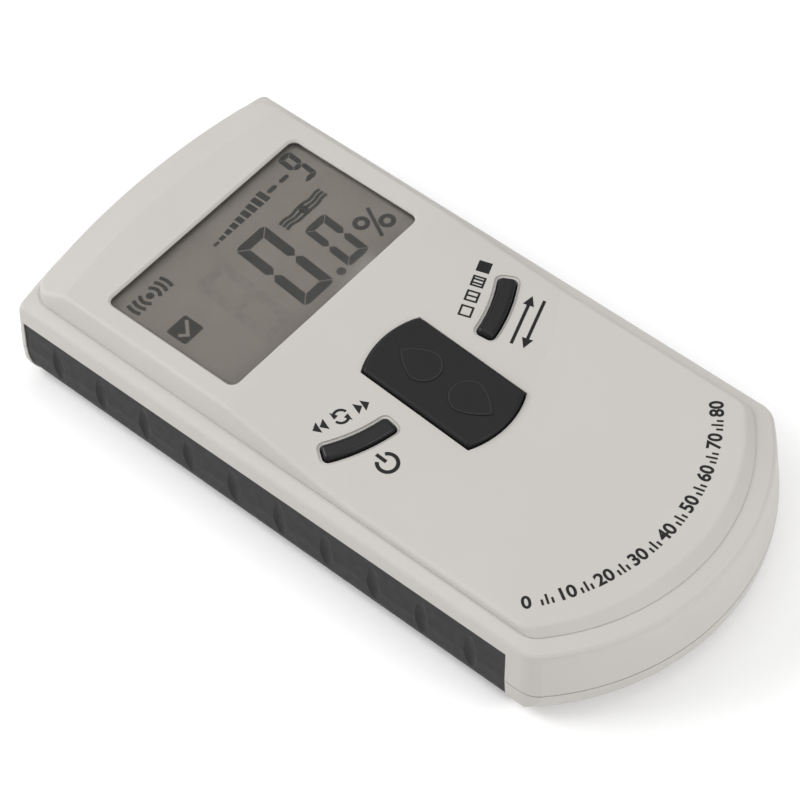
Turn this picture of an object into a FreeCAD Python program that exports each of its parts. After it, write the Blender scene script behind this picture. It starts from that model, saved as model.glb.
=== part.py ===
import FreeCAD, Part
import math
import os

# A hand-held wood moisture meter lying on its back.
# Millimetres.  +Z is the display side, +Y the display end, +X the reader's right.
# The origin is the middle of the footprint, on the plane that the sensing pad rests on.

V = FreeCAD.Vector

# ---- driving dimensions: casing -------------------------------------------------
BODY_LENGTH = 155.0          # at the joint between the covers, where the casing is widest
BODY_HALF_WIDTH = 37.7
TOP_END_RADIUS = 190.0       # plan radius of the display end
LOW_END_RADIUS = 50.7        # plan radius of the battery end
TOP_CORNER = 1.5
LOW_CORNER = 6.0
WALL_LEAN = 0.8              # the wall above the joint leans in by this much
PAD_RISE = 0.6               # the sensing pad stands proud of the back by this much
BACK_Z = PAD_RISE
BACK_ROUND = 3.4
LOW_ROUND = 5.8              # the back rounds up further at the battery end
LOW_ROUND_SPREAD = 52.0      # degrees to each side of the middle
PARTING_Z = 8.0              # joint between the two covers
SEAM = 0.3                   # width and depth of the narrow groove along that joint
GROOVE_Z = 20.3              # foot of the raised face
GROOVE_DEPTH = 0.12          # a fine line runs round that foot
GROOVE_WIDTH = 0.5
FACE_HALF_WIDTH = 33.8
FACE_TOP_Y = 75.5
FACE_TOP_RADIUS = 160.0
FACE_TOP_CORNER = 6.0
FACE_LOW_Y = -72.4
FACE_LOW_RADIUS = 46.5
FACE_LOW_CORNER = 4.0
FACE_LOW_LEAN = 1.8          # inward lean of the raised face's battery end per mm of height
# the ledge rounds over from the side wall: (share of the way in to the foot, height)
LEDGE_PROFILE = ((0.0, 18.0), (0.03, 18.7), (0.1, 19.25), (0.22, 19.6), (1.0, GROOVE_Z))
LOW_FACE_Z = 21.9            # battery end of the face
FACE_Z = 25.4                # display end of the face
FACE_DRAFT = 0.314           # inward lean of the raised face per mm of height
SLOPE_Y = 18.7               # where the face starts to fall towards the battery end
CREASE_Y = -22.4             # where the fall ends, on the centre line
CREASE_RADIUS = 52.0
BAND_LENGTH = 8.8            # sloping band along the display end
BAND_FALL = 3.7
CREST_ROUND = 1.0
WALL = 1.6
# half width, display end, battery end and battery end's radius of the room inside
LOWER_CAVITY = (33.3, 74.9, -73.7, 46.0)
UPPER_CAVITY = (31.2, 73.6, -70.6, 41.6)
CAVITY_TOP_RADIUS = 170.0
CAVITY_CORNER = 4.0
CAVITY_STEP_Z = 18.8
CAVITY_ROUND = 4.0
POST_JOINT_Z = 9.0           # where the screw posts of the two covers meet

# ---- driving dimensions: display --------------------------------------------------
WINDOW_Y = 38.75
WINDOW_SIZE = (55.1, 34.3)
WINDOW_CORNER = 1.8
WINDOW_BEVEL = 0.4
LENS_SIZE = (59.4, 38.4)
LENS_TOP_Z = 24.7
LENS_THICK = 1.2
LCD_TOP_Z = 23.4
LCD_THICK = 2.2
LCD_SIZE = (58.0, 36.6)

# ---- driving dimensions: keys ------------------------------------------------------
KEY_CENTRE = (8.0, 28.0)     # centre of the arc that both side keys follow, per side
KEY_RADII = (33.8, 37.3)
KEY_ANGLES = (9.4, 33.6)     # degrees from straight down
KEY_GAP = 0.35
KEY_TRAVEL = 0.5
KEY_PROUD = 0.75
KEY_CROWN = 0.8
KEY_FLANGE_Z = 20.2
MOAT_WIDTH = 0.55
MOAT_DEPTH = 0.3
ROCKER_HALF_WIDTH = 8.5
ROCKER_TOP_Y = 4.9           # ends of the straight sides
ROCKER_LOW_Y = -21.8
ROCKER_BULGE = 2.2
ROCKER_TOP_Z = 25.0
ROCKER_LOW_Z = 23.0
ROCKER_BASE_Z = 19.9
DROP_RISE = 0.12             # the two drop-shaped marks stand proud of the rocker
DROPS = ((2.7, -7.2, 3.9), (-20.9, -10.8, 4.0))     # y of the point, y of the round end, radius
PIN_RADIUS = 0.8
PIN_FIT = 0.05
PIN_Y = -8.8
PIN_Z = 20.0
EAR_X = 9.3
EAR_THICK = 1.6

# ---- driving dimensions: board and switches ---------------------------------------
BOARD_TOP_Z = 16.0
BOARD_THICK = 1.6
BOARD_HALF_WIDTH = 31.6
BOARD_Y = (-24.6, 58.4)
SWITCH_SIZE = 6.0
SWITCH_BODY = 2.4
PLUNGER_RADIUS = 1.7
PLUNGER_TOP_Z = 19.3
PLUNGER_LOW_Z = 17.2
CONTACT_GAP = 0.03           # a key's stem rests this far above its plunger
CHIP_AT = (-10.0, 4.0)
SIDE_SWITCH = (21.2, -4.9)
ROCKER_SWITCH_REACH = 11.6   # from the pin to each switch under the rocker

# ---- driving dimensions: battery bay ------------------------------------------------
BATTERY_X = (-26.5, 19.5)
BATTERY_Y = (-60.0, -33.5)
BATTERY_Z = (2.6, 20.1)
DOOR_HALF_WIDTH = 29.0
DOOR_Y = (-62.5, -31.5)
DOOR_CORNER = 5.0
DOOR_GAP = 0.2
HINGE_Y = DOOR_Y[0]
HOOK_X = 15.0
BAY_WALL_X = 29.9
BAY_WALL_TOP = 14.0
SNAP_DEPTH = 4.6
SNAP_HALF = 12.6
LEAD_RADIUS = 0.6
LEAD_Z = 6.6

# ---- driving dimensions: grips, sensor, screws -----------------------------------------
GRIP_TOP_Z = (16.1, 15.1)     # at the battery end and at the display end
GRIP_CORNER = 7.5            # lower corner at the display end
GRIP_INNER_X = 32.5
GRIP_Y = (-54.8, 72.0)
GRIP_THICK = 1.8
GRIP_SETBACK = 0.25
DENT_COUNT = 10
DENT_PITCH = 12.1
DENT_FIRST_Y = -46.2
DENT_Z = 8.2
DENT_HEIGHT = 11.5
DENT_WIDTH = 3.4
DENT_DEPTH = 0.55
SENSOR_Y = 43.0
PAD_SIZE = (46.0, 40.0)
PLATE_THICK = 0.3
SPRING_RADIUS = 2.5
FOOT_SIZE = (30.0, 1.8)
FOOT_Y = -65.0
TONGUE_RISE = 1.4
LABEL_SIZE = (44.0, 30.0)
LABEL_Y = -4.0
SCREW_SEAT_Z = 3.9
SCREW_HEAD_RADIUS = 2.4
SCREW_AT = ((29.4, 64.6), (-29.4, 64.6), (29.6, -28.6), (-29.6, -28.6))
SCREW_RADIUS = 1.2
BOARD_SCREW_RADIUS = 0.9
BOARD_SCREW_AT = ((28.4, 12.6), (-28.4, 12.6), (28.4, -19.4), (-28.4, -19.4))

TOP_Y = BODY_LENGTH / 2
LOW_Y = -BODY_LENGTH / 2
FAR = 40.0                   # beyond every side of the casing
HIGH = 30.0                  # above the casing
FLOOR_Z = BACK_Z + WALL
BOARD_LOW_Z = BOARD_TOP_Z - BOARD_THICK


# ---- plain shapes ----------------------------------------------------------------------
def box(x0, x1, y0, y1, z0, z1):
    return Part.makeBox(x1 - x0, y1 - y0, z1 - z0, V(x0, y0, z0))


def rod(x, y, z0, z1, radius):
    return Part.makeCylinder(radius, z1 - z0, V(x, y, z0), V(0, 0, 1))


def prism(wire, height):
    return Part.Face(wire).extrude(V(0, 0, height))


def fuse_all(shapes):
    return shapes[0].multiFuse(shapes[1:]).removeSplitter()


def carve(solid, cutters):
    for cutter in cutters:
        solid = solid.cut(cutter)
    return solid


def mirrored(shape):
    """The same shape on the other side of the casing."""
    return shape.mirror(V(0, 0, 0), V(1, 0, 0))


def rounded_rectangle(width, length, corner, x, y, z):
    """A rectangle with round corners, centred on (x, y)."""
    a = width / 2 - corner
    b = length / 2 - corner
    edges = []
    for turn, (cx, cy) in enumerate(((a, b), (-a, b), (-a, -b), (a, -b))):
        start = 90 * turn
        edges.append(arc_about(x + cx, y + cy, corner, start, start + 90, z))
    return closed(edges)


def rounded_box(width, length, corner, x, y, z0, z1):
    return prism(rounded_rectangle(width, length, corner, x, y, z0), z1 - z0)


def arc_about(x, y, radius, start, end, z):
    """An arc given by its centre, radius and two angles in degrees."""
    points = []
    for angle in (start, (start + end) / 2, end):
        turn = math.radians(angle)
        points.append(V(x + radius * math.cos(turn), y + radius * math.sin(turn), z))
    return Part.Arc(*points).toShape()


def closed(edges):
    """Join edges in order, with a straight run across every gap."""
    whole = []
    for edge, following in zip(edges, edges[1:] + edges[:1]):
        whole.append(edge)
        end = edge.lastVertex(True).Point
        start = following.firstVertex(True).Point
        if end.distanceToPoint(start) > 1e-6:
            whole.append(Part.LineSegment(end, start).toShape())
    return Part.Wire(whole)


# ---- casing outline --------------------------------------------------------------------
def corner_points(half, radius, centre_y, corner, side):
    """Points of the round between the right side and an end arc: on the side, middle, on the arc."""
    x = half - corner
    reach = radius - corner
    y = centre_y + side * math.sqrt(reach ** 2 - x ** 2)
    ux = x / reach
    uy = (y - centre_y) / reach
    size = math.hypot(1 + ux, uy)
    on_side = (half, y)
    middle = (x + corner * (1 + ux) / size, y + corner * uy / size)
    on_arc = (x + corner * ux, y + corner * uy)
    return on_side, middle, on_arc


def outline(z, half, top, top_radius, low, low_radius, top_corner, low_corner):
    """The casing's plan: straight sides, a shallow arc at the top, a deep one at the bottom."""
    upper = corner_points(half, top_radius, top - top_radius, top_corner, 1)
    lower = corner_points(half, low_radius, low + low_radius, low_corner, -1)

    def right(point):
        return V(point[0], point[1], z)

    def left(point):
        return V(-point[0], point[1], z)

    runs = [
        Part.LineSegment(right(lower[0]), right(upper[0])),
        Part.Arc(right(upper[0]), right(upper[1]), right(upper[2])),
        Part.Arc(right(upper[2]), V(0, top, z), left(upper[2])),
        Part.Arc(left(upper[2]), left(upper[1]), left(upper[0])),
        Part.LineSegment(left(upper[0]), left(lower[0])),
        Part.Arc(left(lower[0]), left(lower[1]), left(lower[2])),
        Part.Arc(left(lower[2]), V(0, low, z), right(lower[2])),
        Part.Arc(right(lower[2]), right(lower[1]), right(lower[0])),
    ]
    return Part.Wire([run.toShape() for run in runs])


def wall_plan(inset):
    """Half width, ends, end radii and corners of the casing, moved in by the inset."""
    return (BODY_HALF_WIDTH - inset, TOP_Y - inset, TOP_END_RADIUS - inset, LOW_Y + inset,
            LOW_END_RADIUS - inset, max(TOP_CORNER - inset, 0.8), LOW_CORNER - inset)


def face_plan(grow=0.0):
    """Half width, ends, end radii and corners of the raised face at its foot."""
    return (FACE_HALF_WIDTH + grow, FACE_TOP_Y + grow, FACE_TOP_RADIUS + grow, FACE_LOW_Y - grow,
            FACE_LOW_RADIUS + grow, FACE_TOP_CORNER + grow, FACE_LOW_CORNER + grow)


def wall_outline(z, inset=0.0):
    return outline(z, *wall_plan(inset))


def ledge_outline(z, share):
    """Between the top of the side wall (share 0) and the foot of the raised face (share 1)."""
    pairs = zip(wall_plan(WALL_LEAN), face_plan())
    return outline(z, *[outer + share * (inner - outer) for outer, inner in pairs])


def crest_outline(z):
    """The raised face's sides carried up above the face, leaning in, most of all at the bottom."""
    rise = z - GROOVE_Z
    return outline(z, FACE_HALF_WIDTH - FACE_DRAFT * rise, FACE_TOP_Y, FACE_TOP_RADIUS,
                   FACE_LOW_Y + FACE_LOW_LEAN * rise, FACE_LOW_RADIUS + 1.5 * rise,
                   FACE_TOP_CORNER, FACE_LOW_CORNER + 0.3 * rise)


def cavity_outline(z, plan, grow=0.0):
    half, top, low, low_radius = plan
    return outline(z, half + grow, top + grow, CAVITY_TOP_RADIUS + grow, low - grow,
                   low_radius + grow, CAVITY_CORNER + grow, CAVITY_CORNER + grow)


def level_edges(solid, level):
    """Edges of a solid that lie in one horizontal plane."""
    chosen = []
    for edge in solid.Edges:
        bounds = edge.BoundBox
        if abs(bounds.ZMin - level) < 1e-4 and abs(bounds.ZMax - level) < 1e-4:
            chosen.append(edge)
    return chosen


def rounded_base(wire, z0, z1, radius):
    """A prism with its lower edge rounded."""
    block = prism(wire, z1 - z0)
    return block.makeFillet(radius, level_edges(block, z0))


def low_end_waste(inset):
    """What the larger round under the battery end takes away."""
    radius = LOW_ROUND - inset
    bottom = BACK_Z + inset
    side = LOW_END_RADIUS - inset
    centre_x = side - radius
    centre_z = bottom + radius
    slant = radius * math.sqrt(0.5)
    arc = Part.Arc(V(side, 0, centre_z), V(centre_x + slant, 0, centre_z - slant),
                   V(centre_x, 0, bottom)).toShape()
    corners = [V(centre_x, 0, bottom), V(centre_x, 0, bottom - 1), V(side + 2, 0, bottom - 1),
               V(side + 2, 0, centre_z), V(side, 0, centre_z)]
    profile = Part.Face(Part.Wire([arc] + Part.makePolygon(corners).Edges))
    profile.translate(V(0, LOW_Y + LOW_END_RADIUS, 0))
    axis = V(0, LOW_Y + LOW_END_RADIUS, 0)
    profile.rotate(axis, V(0, 0, 1), -90 - LOW_ROUND_SPREAD)
    return profile.revolve(axis, V(0, 0, 1), 2 * LOW_ROUND_SPREAD)


def wall_block(inset):
    """The casing up to the ledge, moved in by the inset: upright at first, then leaning in."""
    ledge_z = LEDGE_PROFILE[0][1]
    lower = rounded_base(wall_outline(BACK_Z + inset, inset), BACK_Z + inset, PARTING_Z,
                         BACK_ROUND - inset).cut(low_end_waste(inset))
    upper = Part.makeLoft([wall_outline(PARTING_Z, inset), wall_outline(ledge_z, inset + WALL_LEAN)],
                          True, True)
    return lower.fuse(upper)


# ---- the raised face --------------------------------------------------------------------
def crease_arc(z):
    """Arc across the face where its slope ends."""
    centre_y = CREASE_Y + CREASE_RADIUS
    y = centre_y - math.sqrt(CREASE_RADIUS ** 2 - FAR ** 2)
    return Part.Arc(V(-FAR, y, z), V(0, CREASE_Y, z), V(FAR, y, z)).toShape()


def above_display(drop):
    """Space above the flat display end of the face."""
    return box(-FAR, FAR, SLOPE_Y, TOP_Y + 10, FACE_Z - drop, HIGH)


def above_slope(drop):
    """Space above the sloping middle of the face: straight edge at the top, arc at the bottom."""
    high = FACE_Z - drop
    low = LOW_FACE_Z - drop
    straight = Part.LineSegment(V(-FAR, SLOPE_Y, high), V(FAR, SLOPE_Y, high)).toShape()
    arc = crease_arc(low)
    arc_end_y = arc.firstVertex(True).Point.y
    faces = [Part.makeRuledSurface(straight, arc)]
    faces.append(arc.extrude(V(0, 0, HIGH - low)))
    faces.append(straight.extrude(V(0, 0, HIGH - high)))
    for x in (-FAR, FAR):
        corners = [V(x, SLOPE_Y, high), V(x, SLOPE_Y, HIGH), V(x, arc_end_y, HIGH), V(x, arc_end_y, low)]
        faces.append(Part.Face(Part.makePolygon(corners + corners[:1])))
    roof_line = Part.LineSegment(V(FAR, SLOPE_Y, HIGH), V(-FAR, SLOPE_Y, HIGH)).toShape()
    faces.append(Part.Face(closed([crease_arc(HIGH), roof_line])))
    shell = Part.Shell(faces)
    shell.sewShape()
    solid = Part.Solid(shell)
    if solid.Volume < 0:
        solid.reverse()
    return solid


def above_low_face(drop):
    """Space above the flat battery end of the face."""
    low = LOW_FACE_Z - drop
    back_y = LOW_Y - 10
    arc = crease_arc(low)
    start = arc.firstVertex(True).Point
    end = arc.lastVertex(True).Point
    rest = Part.makePolygon([end, V(FAR, back_y, low), V(-FAR, back_y, low), start])
    return prism(Part.Wire([arc] + rest.Edges), HIGH - low)


def above_band(drop):
    """Space above the sloping band that ends the face at the display end."""
    axis = V(0, FACE_TOP_Y - FACE_TOP_RADIUS, 0)
    inner = FACE_TOP_RADIUS - BAND_LENGTH
    outer = FACE_TOP_RADIUS + 6.0
    high = FACE_Z - drop
    low = high - BAND_FALL / BAND_LENGTH * (outer - inner)
    corners = [V(inner, 0, high), V(outer, 0, low), V(outer, 0, HIGH), V(inner, 0, HIGH)]
    profile = Part.Face(Part.makePolygon([axis + corner for corner in corners + corners[:1]]))
    profile.rotate(axis, V(0, 0, 1), 70)
    return profile.revolve(axis, V(0, 0, 1), 40)


def under_face(solid, drop=0.0):
    """Cut a solid off at the face, or at a surface that lies below the face by the drop."""
    for cutter in (above_display(drop), above_slope(drop), above_low_face(drop), above_band(drop)):
        solid = solid.cut(cutter)
    return solid


# ---- casing volumes ----------------------------------------------------------------------
def foot_groove():
    """Fine ring round the foot of the raised face."""
    z0 = GROOVE_Z - GROOVE_DEPTH
    height = GROOVE_DEPTH + 0.25
    inner = -0.1
    outer = outline(z0, *face_plan(inner + GROOVE_WIDTH))
    return prism(outer, height).cut(prism(outline(z0, *face_plan(inner)), height))


def casing_volume():
    """The closed casing as one solid block, without the sensing pad and the feet."""
    ledge = Part.makeLoft([ledge_outline(z, share) for share, z in LEDGE_PROFILE], True, True)
    raised = Part.makeLoft([ledge_outline(GROOVE_Z, 1.0), crest_outline(FACE_Z + 1.6)], True, True)
    block = under_face(wall_block(0.0).fuse(ledge).fuse(raised).removeSplitter())
    edges = [edge for edge in block.Edges if edge.BoundBox.ZMin > GROOVE_Z + 0.05]
    return block.makeFillet(CREST_ROUND, edges).cut(foot_groove())


def cavity_volume():
    """Room inside the closed casing."""
    lower = rounded_base(cavity_outline(FLOOR_Z, LOWER_CAVITY), FLOOR_Z, CAVITY_STEP_Z, CAVITY_ROUND)
    upper = prism(cavity_outline(CAVITY_STEP_Z - 1.0, UPPER_CAVITY), HIGH - CAVITY_STEP_Z)
    return fuse_all([lower, under_face(upper, WALL)])


def grip_zone(side):
    """Block that takes in everything a side grip covers, on one side of the casing."""
    x = GRIP_INNER_X
    low_y, top_y = GRIP_Y
    corners = [V(x, low_y, -1), V(x, top_y, -1), V(x, top_y, GRIP_TOP_Z[1]), V(x, low_y, GRIP_TOP_Z[0])]
    zone = Part.Face(Part.makePolygon(corners + corners[:1])).extrude(V(FAR - x, 0, 0))
    lower = [edge for edge in level_edges(zone, -1) if edge.BoundBox.YMin > top_y - 0.01]
    zone = zone.makeFillet(GRIP_CORNER, lower)
    return zone if side > 0 else mirrored(zone)


def dent(side, y):
    """A lens-shaped hollow in the side, deepest in the middle."""
    reach = (DENT_HEIGHT ** 2 / 4 + DENT_DEPTH ** 2) / (2 * DENT_DEPTH)
    girth = (DENT_WIDTH ** 2 / 4 + DENT_DEPTH ** 2) / (2 * DENT_DEPTH)
    x = BODY_HALF_WIDTH - GRIP_SETBACK - DENT_DEPTH + girth
    half = DENT_HEIGHT / 2 + 1
    inner = x - girth
    ends_x = inner + reach - math.sqrt(reach ** 2 - half ** 2)
    low = V(ends_x, y, DENT_Z - half)
    high = V(ends_x, y, DENT_Z + half)
    bulge = Part.Arc(low, V(inner, y, DENT_Z), high).toShape()
    spine = [high, V(x, y, DENT_Z + half), V(x, y, DENT_Z - half), low]
    profile = Part.Face(Part.Wire([bulge] + Part.makePolygon(spine).Edges))
    barrel = profile.revolve(V(x, y, 0), V(0, 0, 1), 360)
    lean = math.degrees(math.atan(WALL_LEAN / (LEDGE_PROFILE[0][1] - PARTING_Z)))
    barrel.rotate(V(inner, y, DENT_Z), V(0, 1, 0), -lean)
    return barrel if side > 0 else mirrored(barrel)


def grip(side):
    strip = wall_block(GRIP_SETBACK).common(grip_zone(side)).cut(wall_block(GRIP_THICK))
    dents = [dent(side, DENT_FIRST_Y + DENT_PITCH * k) for k in range(DENT_COUNT)]
    return strip.cut(Part.makeCompound(dents))


# ---- key outlines --------------------------------------------------------------------------
def key_wire(side, z, grow=0.0):
    """Arc-shaped key plan with round corners; the left key is the right one mirrored."""
    x, y = KEY_CENTRE
    inner = KEY_RADII[0] - grow
    outer = KEY_RADII[1] + grow
    middle = (inner + outer) / 2
    spread = math.degrees(grow / middle)
    first = -90 + KEY_ANGLES[0] - spread
    last = -90 + KEY_ANGLES[1] + spread
    outer_edge = arc_about(x, y, outer, first, last, z)
    inner_edge = arc_about(x, y, inner, last, first, z)
    wire = closed([outer_edge, inner_edge])
    if side < 0:
        wire = mirrored(wire)
    return wire


def key_prism(side, z0, z1, corner, grow=0.0):
    block = prism(key_wire(side, z0, grow), z1 - z0)
    upright = [edge for edge in block.Edges
               if edge.BoundBox.XLength < 1e-4 and edge.BoundBox.YLength < 1e-4]
    return block.makeFillet(corner, upright)


def rocker_wire(z, grow=0.0):
    """Straight sides and bowed ends."""
    half = ROCKER_HALF_WIDTH + grow
    top = ROCKER_TOP_Y + grow
    low = ROCKER_LOW_Y - grow
    upper = Part.Arc(V(half, top, z), V(0, top + ROCKER_BULGE, z), V(-half, top, z)).toShape()
    lower = Part.Arc(V(-half, low, z), V(0, low - ROCKER_BULGE, z), V(half, low, z)).toShape()
    return closed([upper, lower])


# ---- front cover ------------------------------------------------------------------------------
def boss(x, y, z0, radius, hole, hole_top):
    """A screw post that hangs from the front cover's face; its hole is cut later."""
    return under_face(rod(x, y, z0, HIGH - 1, radius), WALL / 2), rod(x, y, z0 - 1, hole_top, hole)


def window_cut():
    width, length = WINDOW_SIZE
    hole = rounded_box(width, length, WINDOW_CORNER, 0, WINDOW_Y, LENS_TOP_Z - 2, HIGH)
    rim = WINDOW_BEVEL
    low = rounded_rectangle(width, length, WINDOW_CORNER, 0, WINDOW_Y, FACE_Z - rim)
    high = rounded_rectangle(width + 2 * rim, length + 2 * rim, WINDOW_CORNER + rim, 0, WINDOW_Y, FACE_Z)
    bevel = Part.makeLoft([low, high], True, True)
    seat = rounded_box(LENS_SIZE[0] + 0.2, LENS_SIZE[1] + 0.2, 1.5, 0, WINDOW_Y,
                       LENS_TOP_Z - 2, LENS_TOP_Z)
    return [hole, bevel, seat]


def key_surround(block):
    """The shallow moat around a key: only the part of a block just under the face."""
    return block.cut(under_face(block, MOAT_DEPTH))


def front_cover(casing, cavity):
    shell = casing.cut(cavity).common(box(-FAR, FAR, LOW_Y - 5, TOP_Y + 5, PARTING_Z, HIGH))
    adds = []
    cuts = window_cut()
    for x, y in SCREW_AT:
        post, hole = boss(x, y, POST_JOINT_Z, 2.8, SCREW_RADIUS + 0.05, 19.5)
        adds.append(post)
        cuts.append(hole)
    for x, y in BOARD_SCREW_AT:
        post, hole = boss(x, y, BOARD_TOP_Z, 2.4, BOARD_SCREW_RADIUS + 0.05, 20.0)
        adds.append(post)
        cuts.append(hole)
    for side in (-1, 1):
        ear = box(EAR_X, EAR_X + EAR_THICK, PIN_Y - 2.4, PIN_Y + 2.4, PIN_Z - 1.9, HIGH - 1)
        if side < 0:
            ear = mirrored(ear)
        adds.append(under_face(ear, WALL / 2))
        cuts.append(key_prism(side, LOW_FACE_Z - 4, HIGH, 1.2, KEY_GAP))
        cuts.append(key_surround(key_prism(side, LOW_FACE_Z - 4, HIGH, 1.7, KEY_GAP + MOAT_WIDTH)))
        cuts.append(grip_zone(side).cut(wall_block(GRIP_THICK)))
    cuts.append(prism(rocker_wire(LOW_FACE_Z - 4, KEY_GAP), 12))
    pin_hole = Part.makeCylinder(PIN_RADIUS, 40, V(-20, PIN_Y, PIN_Z), V(1, 0, 0))
    cuts.append(pin_hole)
    return carve(fuse_all([shell] + adds), cuts)


# ---- rear cover and battery door ------------------------------------------------------------------
def door_wire(z, inset=0.0):
    middle = (DOOR_Y[0] + DOOR_Y[1]) / 2
    length = DOOR_Y[1] - DOOR_Y[0]
    return rounded_rectangle(2 * (DOOR_HALF_WIDTH - inset), length - 2 * inset,
                             DOOR_CORNER - inset, 0, middle, z)


def back_shell(casing, cavity):
    return casing.cut(cavity).common(box(-FAR, FAR, LOW_Y - 5, TOP_Y + 5, -1, PARTING_Z))


def locating_tongue():
    """Rib inside the wall that reaches up into the front cover."""
    z0 = PARTING_Z - 1.6
    root = prism(cavity_outline(z0, LOWER_CAVITY, 0.3), 1.6)
    tip = prism(cavity_outline(PARTING_Z, LOWER_CAVITY, -0.1), TONGUE_RISE)
    inside = prism(cavity_outline(z0 - 1, LOWER_CAVITY, -0.9), 8)
    return root.fuse(tip).cut(inside)


def seam_groove():
    """Ring just under the joint of the covers, as deep as it is high."""
    z0 = PARTING_Z - SEAM
    outer = prism(wall_outline(z0, -1.0), SEAM)
    return outer.cut(prism(wall_outline(z0, SEAM), SEAM))


def rear_cover(casing, cavity):
    pad = rounded_box(PAD_SIZE[0], PAD_SIZE[1], 5.0, 0, SENSOR_Y, 0, BACK_Z + 0.4)
    pad = pad.makeFillet(0.4, level_edges(pad, 0))
    foot = rounded_box(FOOT_SIZE[0], FOOT_SIZE[1], FOOT_SIZE[1] / 2 - 0.01, 0, FOOT_Y, 0, BACK_Z + 0.4)
    foot = foot.makeFillet(0.3, level_edges(foot, 0))
    adds = [back_shell(casing, cavity), locating_tongue(), pad, foot]
    for x in (-BAY_WALL_X, BAY_WALL_X):
        adds.append(box(x - 0.6, x + 0.6, DOOR_Y[0] + 5, DOOR_Y[1] - 2, FLOOR_Z - 0.5, BAY_WALL_TOP))
    adds.append(box(-25.0, 16.0, DOOR_Y[1] + 0.6, DOOR_Y[1] + 1.8, FLOOR_Z - 0.5, BAY_WALL_TOP))
    cuts = [prism(door_wire(-1), FLOOR_Z + 2), seam_groove()]
    for x, y in SCREW_AT:
        adds.append(rod(x, y, FLOOR_Z - 0.5, POST_JOINT_Z, 3.1))
        cuts.append(rod(x, y, -1, SCREW_SEAT_Z, SCREW_HEAD_RADIUS + 0.2))
        cuts.append(rod(x, y, -1, POST_JOINT_Z + 1, SCREW_RADIUS + 0.2))
    for side in (-1, 1):
        cuts.append(grip_zone(side).cut(wall_block(GRIP_THICK)))
    cuts.append(rounded_box(LABEL_SIZE[0] + 0.4, LABEL_SIZE[1] + 0.4, 1.6, 0, LABEL_Y, -1, BACK_Z + 0.2))
    return carve(fuse_all(adds), cuts)


def battery_door(casing, cavity):
    """Lift-off door: two hooks under the cover's edge and a finger latch at the other end."""
    panel = back_shell(casing, cavity).common(prism(door_wire(-1, DOOR_GAP), 8))
    parts = [panel]
    for x in (-HOOK_X, HOOK_X):
        neck = box(x - 3, x + 3, HINGE_Y + 0.3, HINGE_Y + 2.4, FLOOR_Z - 0.5, FLOOR_Z + 1.3)
        tongue = box(x - 3, x + 3, HINGE_Y - 1.8, HINGE_Y + 2.4, FLOOR_Z + 0.3, FLOOR_Z + 1.3)
        parts += [neck, tongue]
    parts.append(box(-6, 6, DOOR_Y[1] - 1.6, DOOR_Y[1] - 0.8, FLOOR_Z - 0.5, FLOOR_Z + 3.4))
    ridges = [box(-7, 7, y - 0.4, y + 0.4, -1, BACK_Z + 0.35)
              for y in (DOOR_Y[1] - 5.6, DOOR_Y[1] - 7.2, DOOR_Y[1] - 8.8)]
    finger_dip = Part.makeCylinder(12.0, 15, V(-7.5, DOOR_Y[1] - 2.6, BACK_Z - 11.2), V(1, 0, 0))
    return carve(fuse_all(parts), ridges + [finger_dip])


# ---- display ----------------------------------------------------------------------------------------
def lcd_window():
    width, length = LENS_SIZE
    return rounded_box(width, length, 1.4, 0, WINDOW_Y, LENS_TOP_Z - LENS_THICK, LENS_TOP_Z)


def lcd_glass():
    width, length = LCD_SIZE
    return rounded_box(width, length, 0.4, 0, WINDOW_Y, LCD_TOP_Z - LCD_THICK, LCD_TOP_Z)


def lcd_reflector():
    z1 = LCD_TOP_Z - LCD_THICK
    return rounded_box(LCD_SIZE[0] - 3, LCD_SIZE[1] - 6, 0.4, 0, WINDOW_Y + 1.6, z1 - 0.3, z1)


def zebra_box(grow):
    z1 = LCD_TOP_Z - LCD_THICK
    y = WINDOW_Y - LCD_SIZE[1] / 2 + 1.5
    return box(-26 - grow, 26 + grow, y - 1.1 - grow, y + 1.1 + grow, BOARD_TOP_Z, z1)


def lcd_frame():
    """Tray that holds the glass on the board and leads the rubber connector."""
    z1 = LCD_TOP_Z + 0.1
    seat_z = LCD_TOP_Z - LCD_THICK
    block = rounded_box(61.4, 40.0, 1.0, 0, WINDOW_Y, BOARD_TOP_Z, z1)
    well = rounded_box(LCD_SIZE[0] + 0.2, LCD_SIZE[1] + 0.2, 0.4, 0, WINDOW_Y, seat_z, z1 + 1)
    pocket = rounded_box(LCD_SIZE[0] - 2.6, LCD_SIZE[1] - 5.6, 0.5, 0, WINDOW_Y + 1.6, seat_z - 0.4, z1)
    hollow = box(-24, 24, WINDOW_Y - 10, WINDOW_Y + 15, BOARD_TOP_Z - 1, seat_z)
    return carve(block, [well, pocket, hollow, zebra_box(0.1)])


# ---- board and what is on it -------------------------------------------------------------------------
def main_board():
    y0, y1 = BOARD_Y
    middle = (y0 + y1) / 2
    board = rounded_box(2 * BOARD_HALF_WIDTH, y1 - y0, 1.5, 0, middle, BOARD_LOW_Z, BOARD_TOP_Z)
    holes = [rod(x, y, 0, HIGH, BOARD_SCREW_RADIUS + 0.2) for x, y in BOARD_SCREW_AT]
    return carve(board, holes)


def switch_places():
    x, y = SIDE_SWITCH
    return {"mode": (-x, y), "density": (x, y),
            "up": (0.0, PIN_Y + ROCKER_SWITCH_REACH), "down": (0.0, PIN_Y - ROCKER_SWITCH_REACH)}


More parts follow.
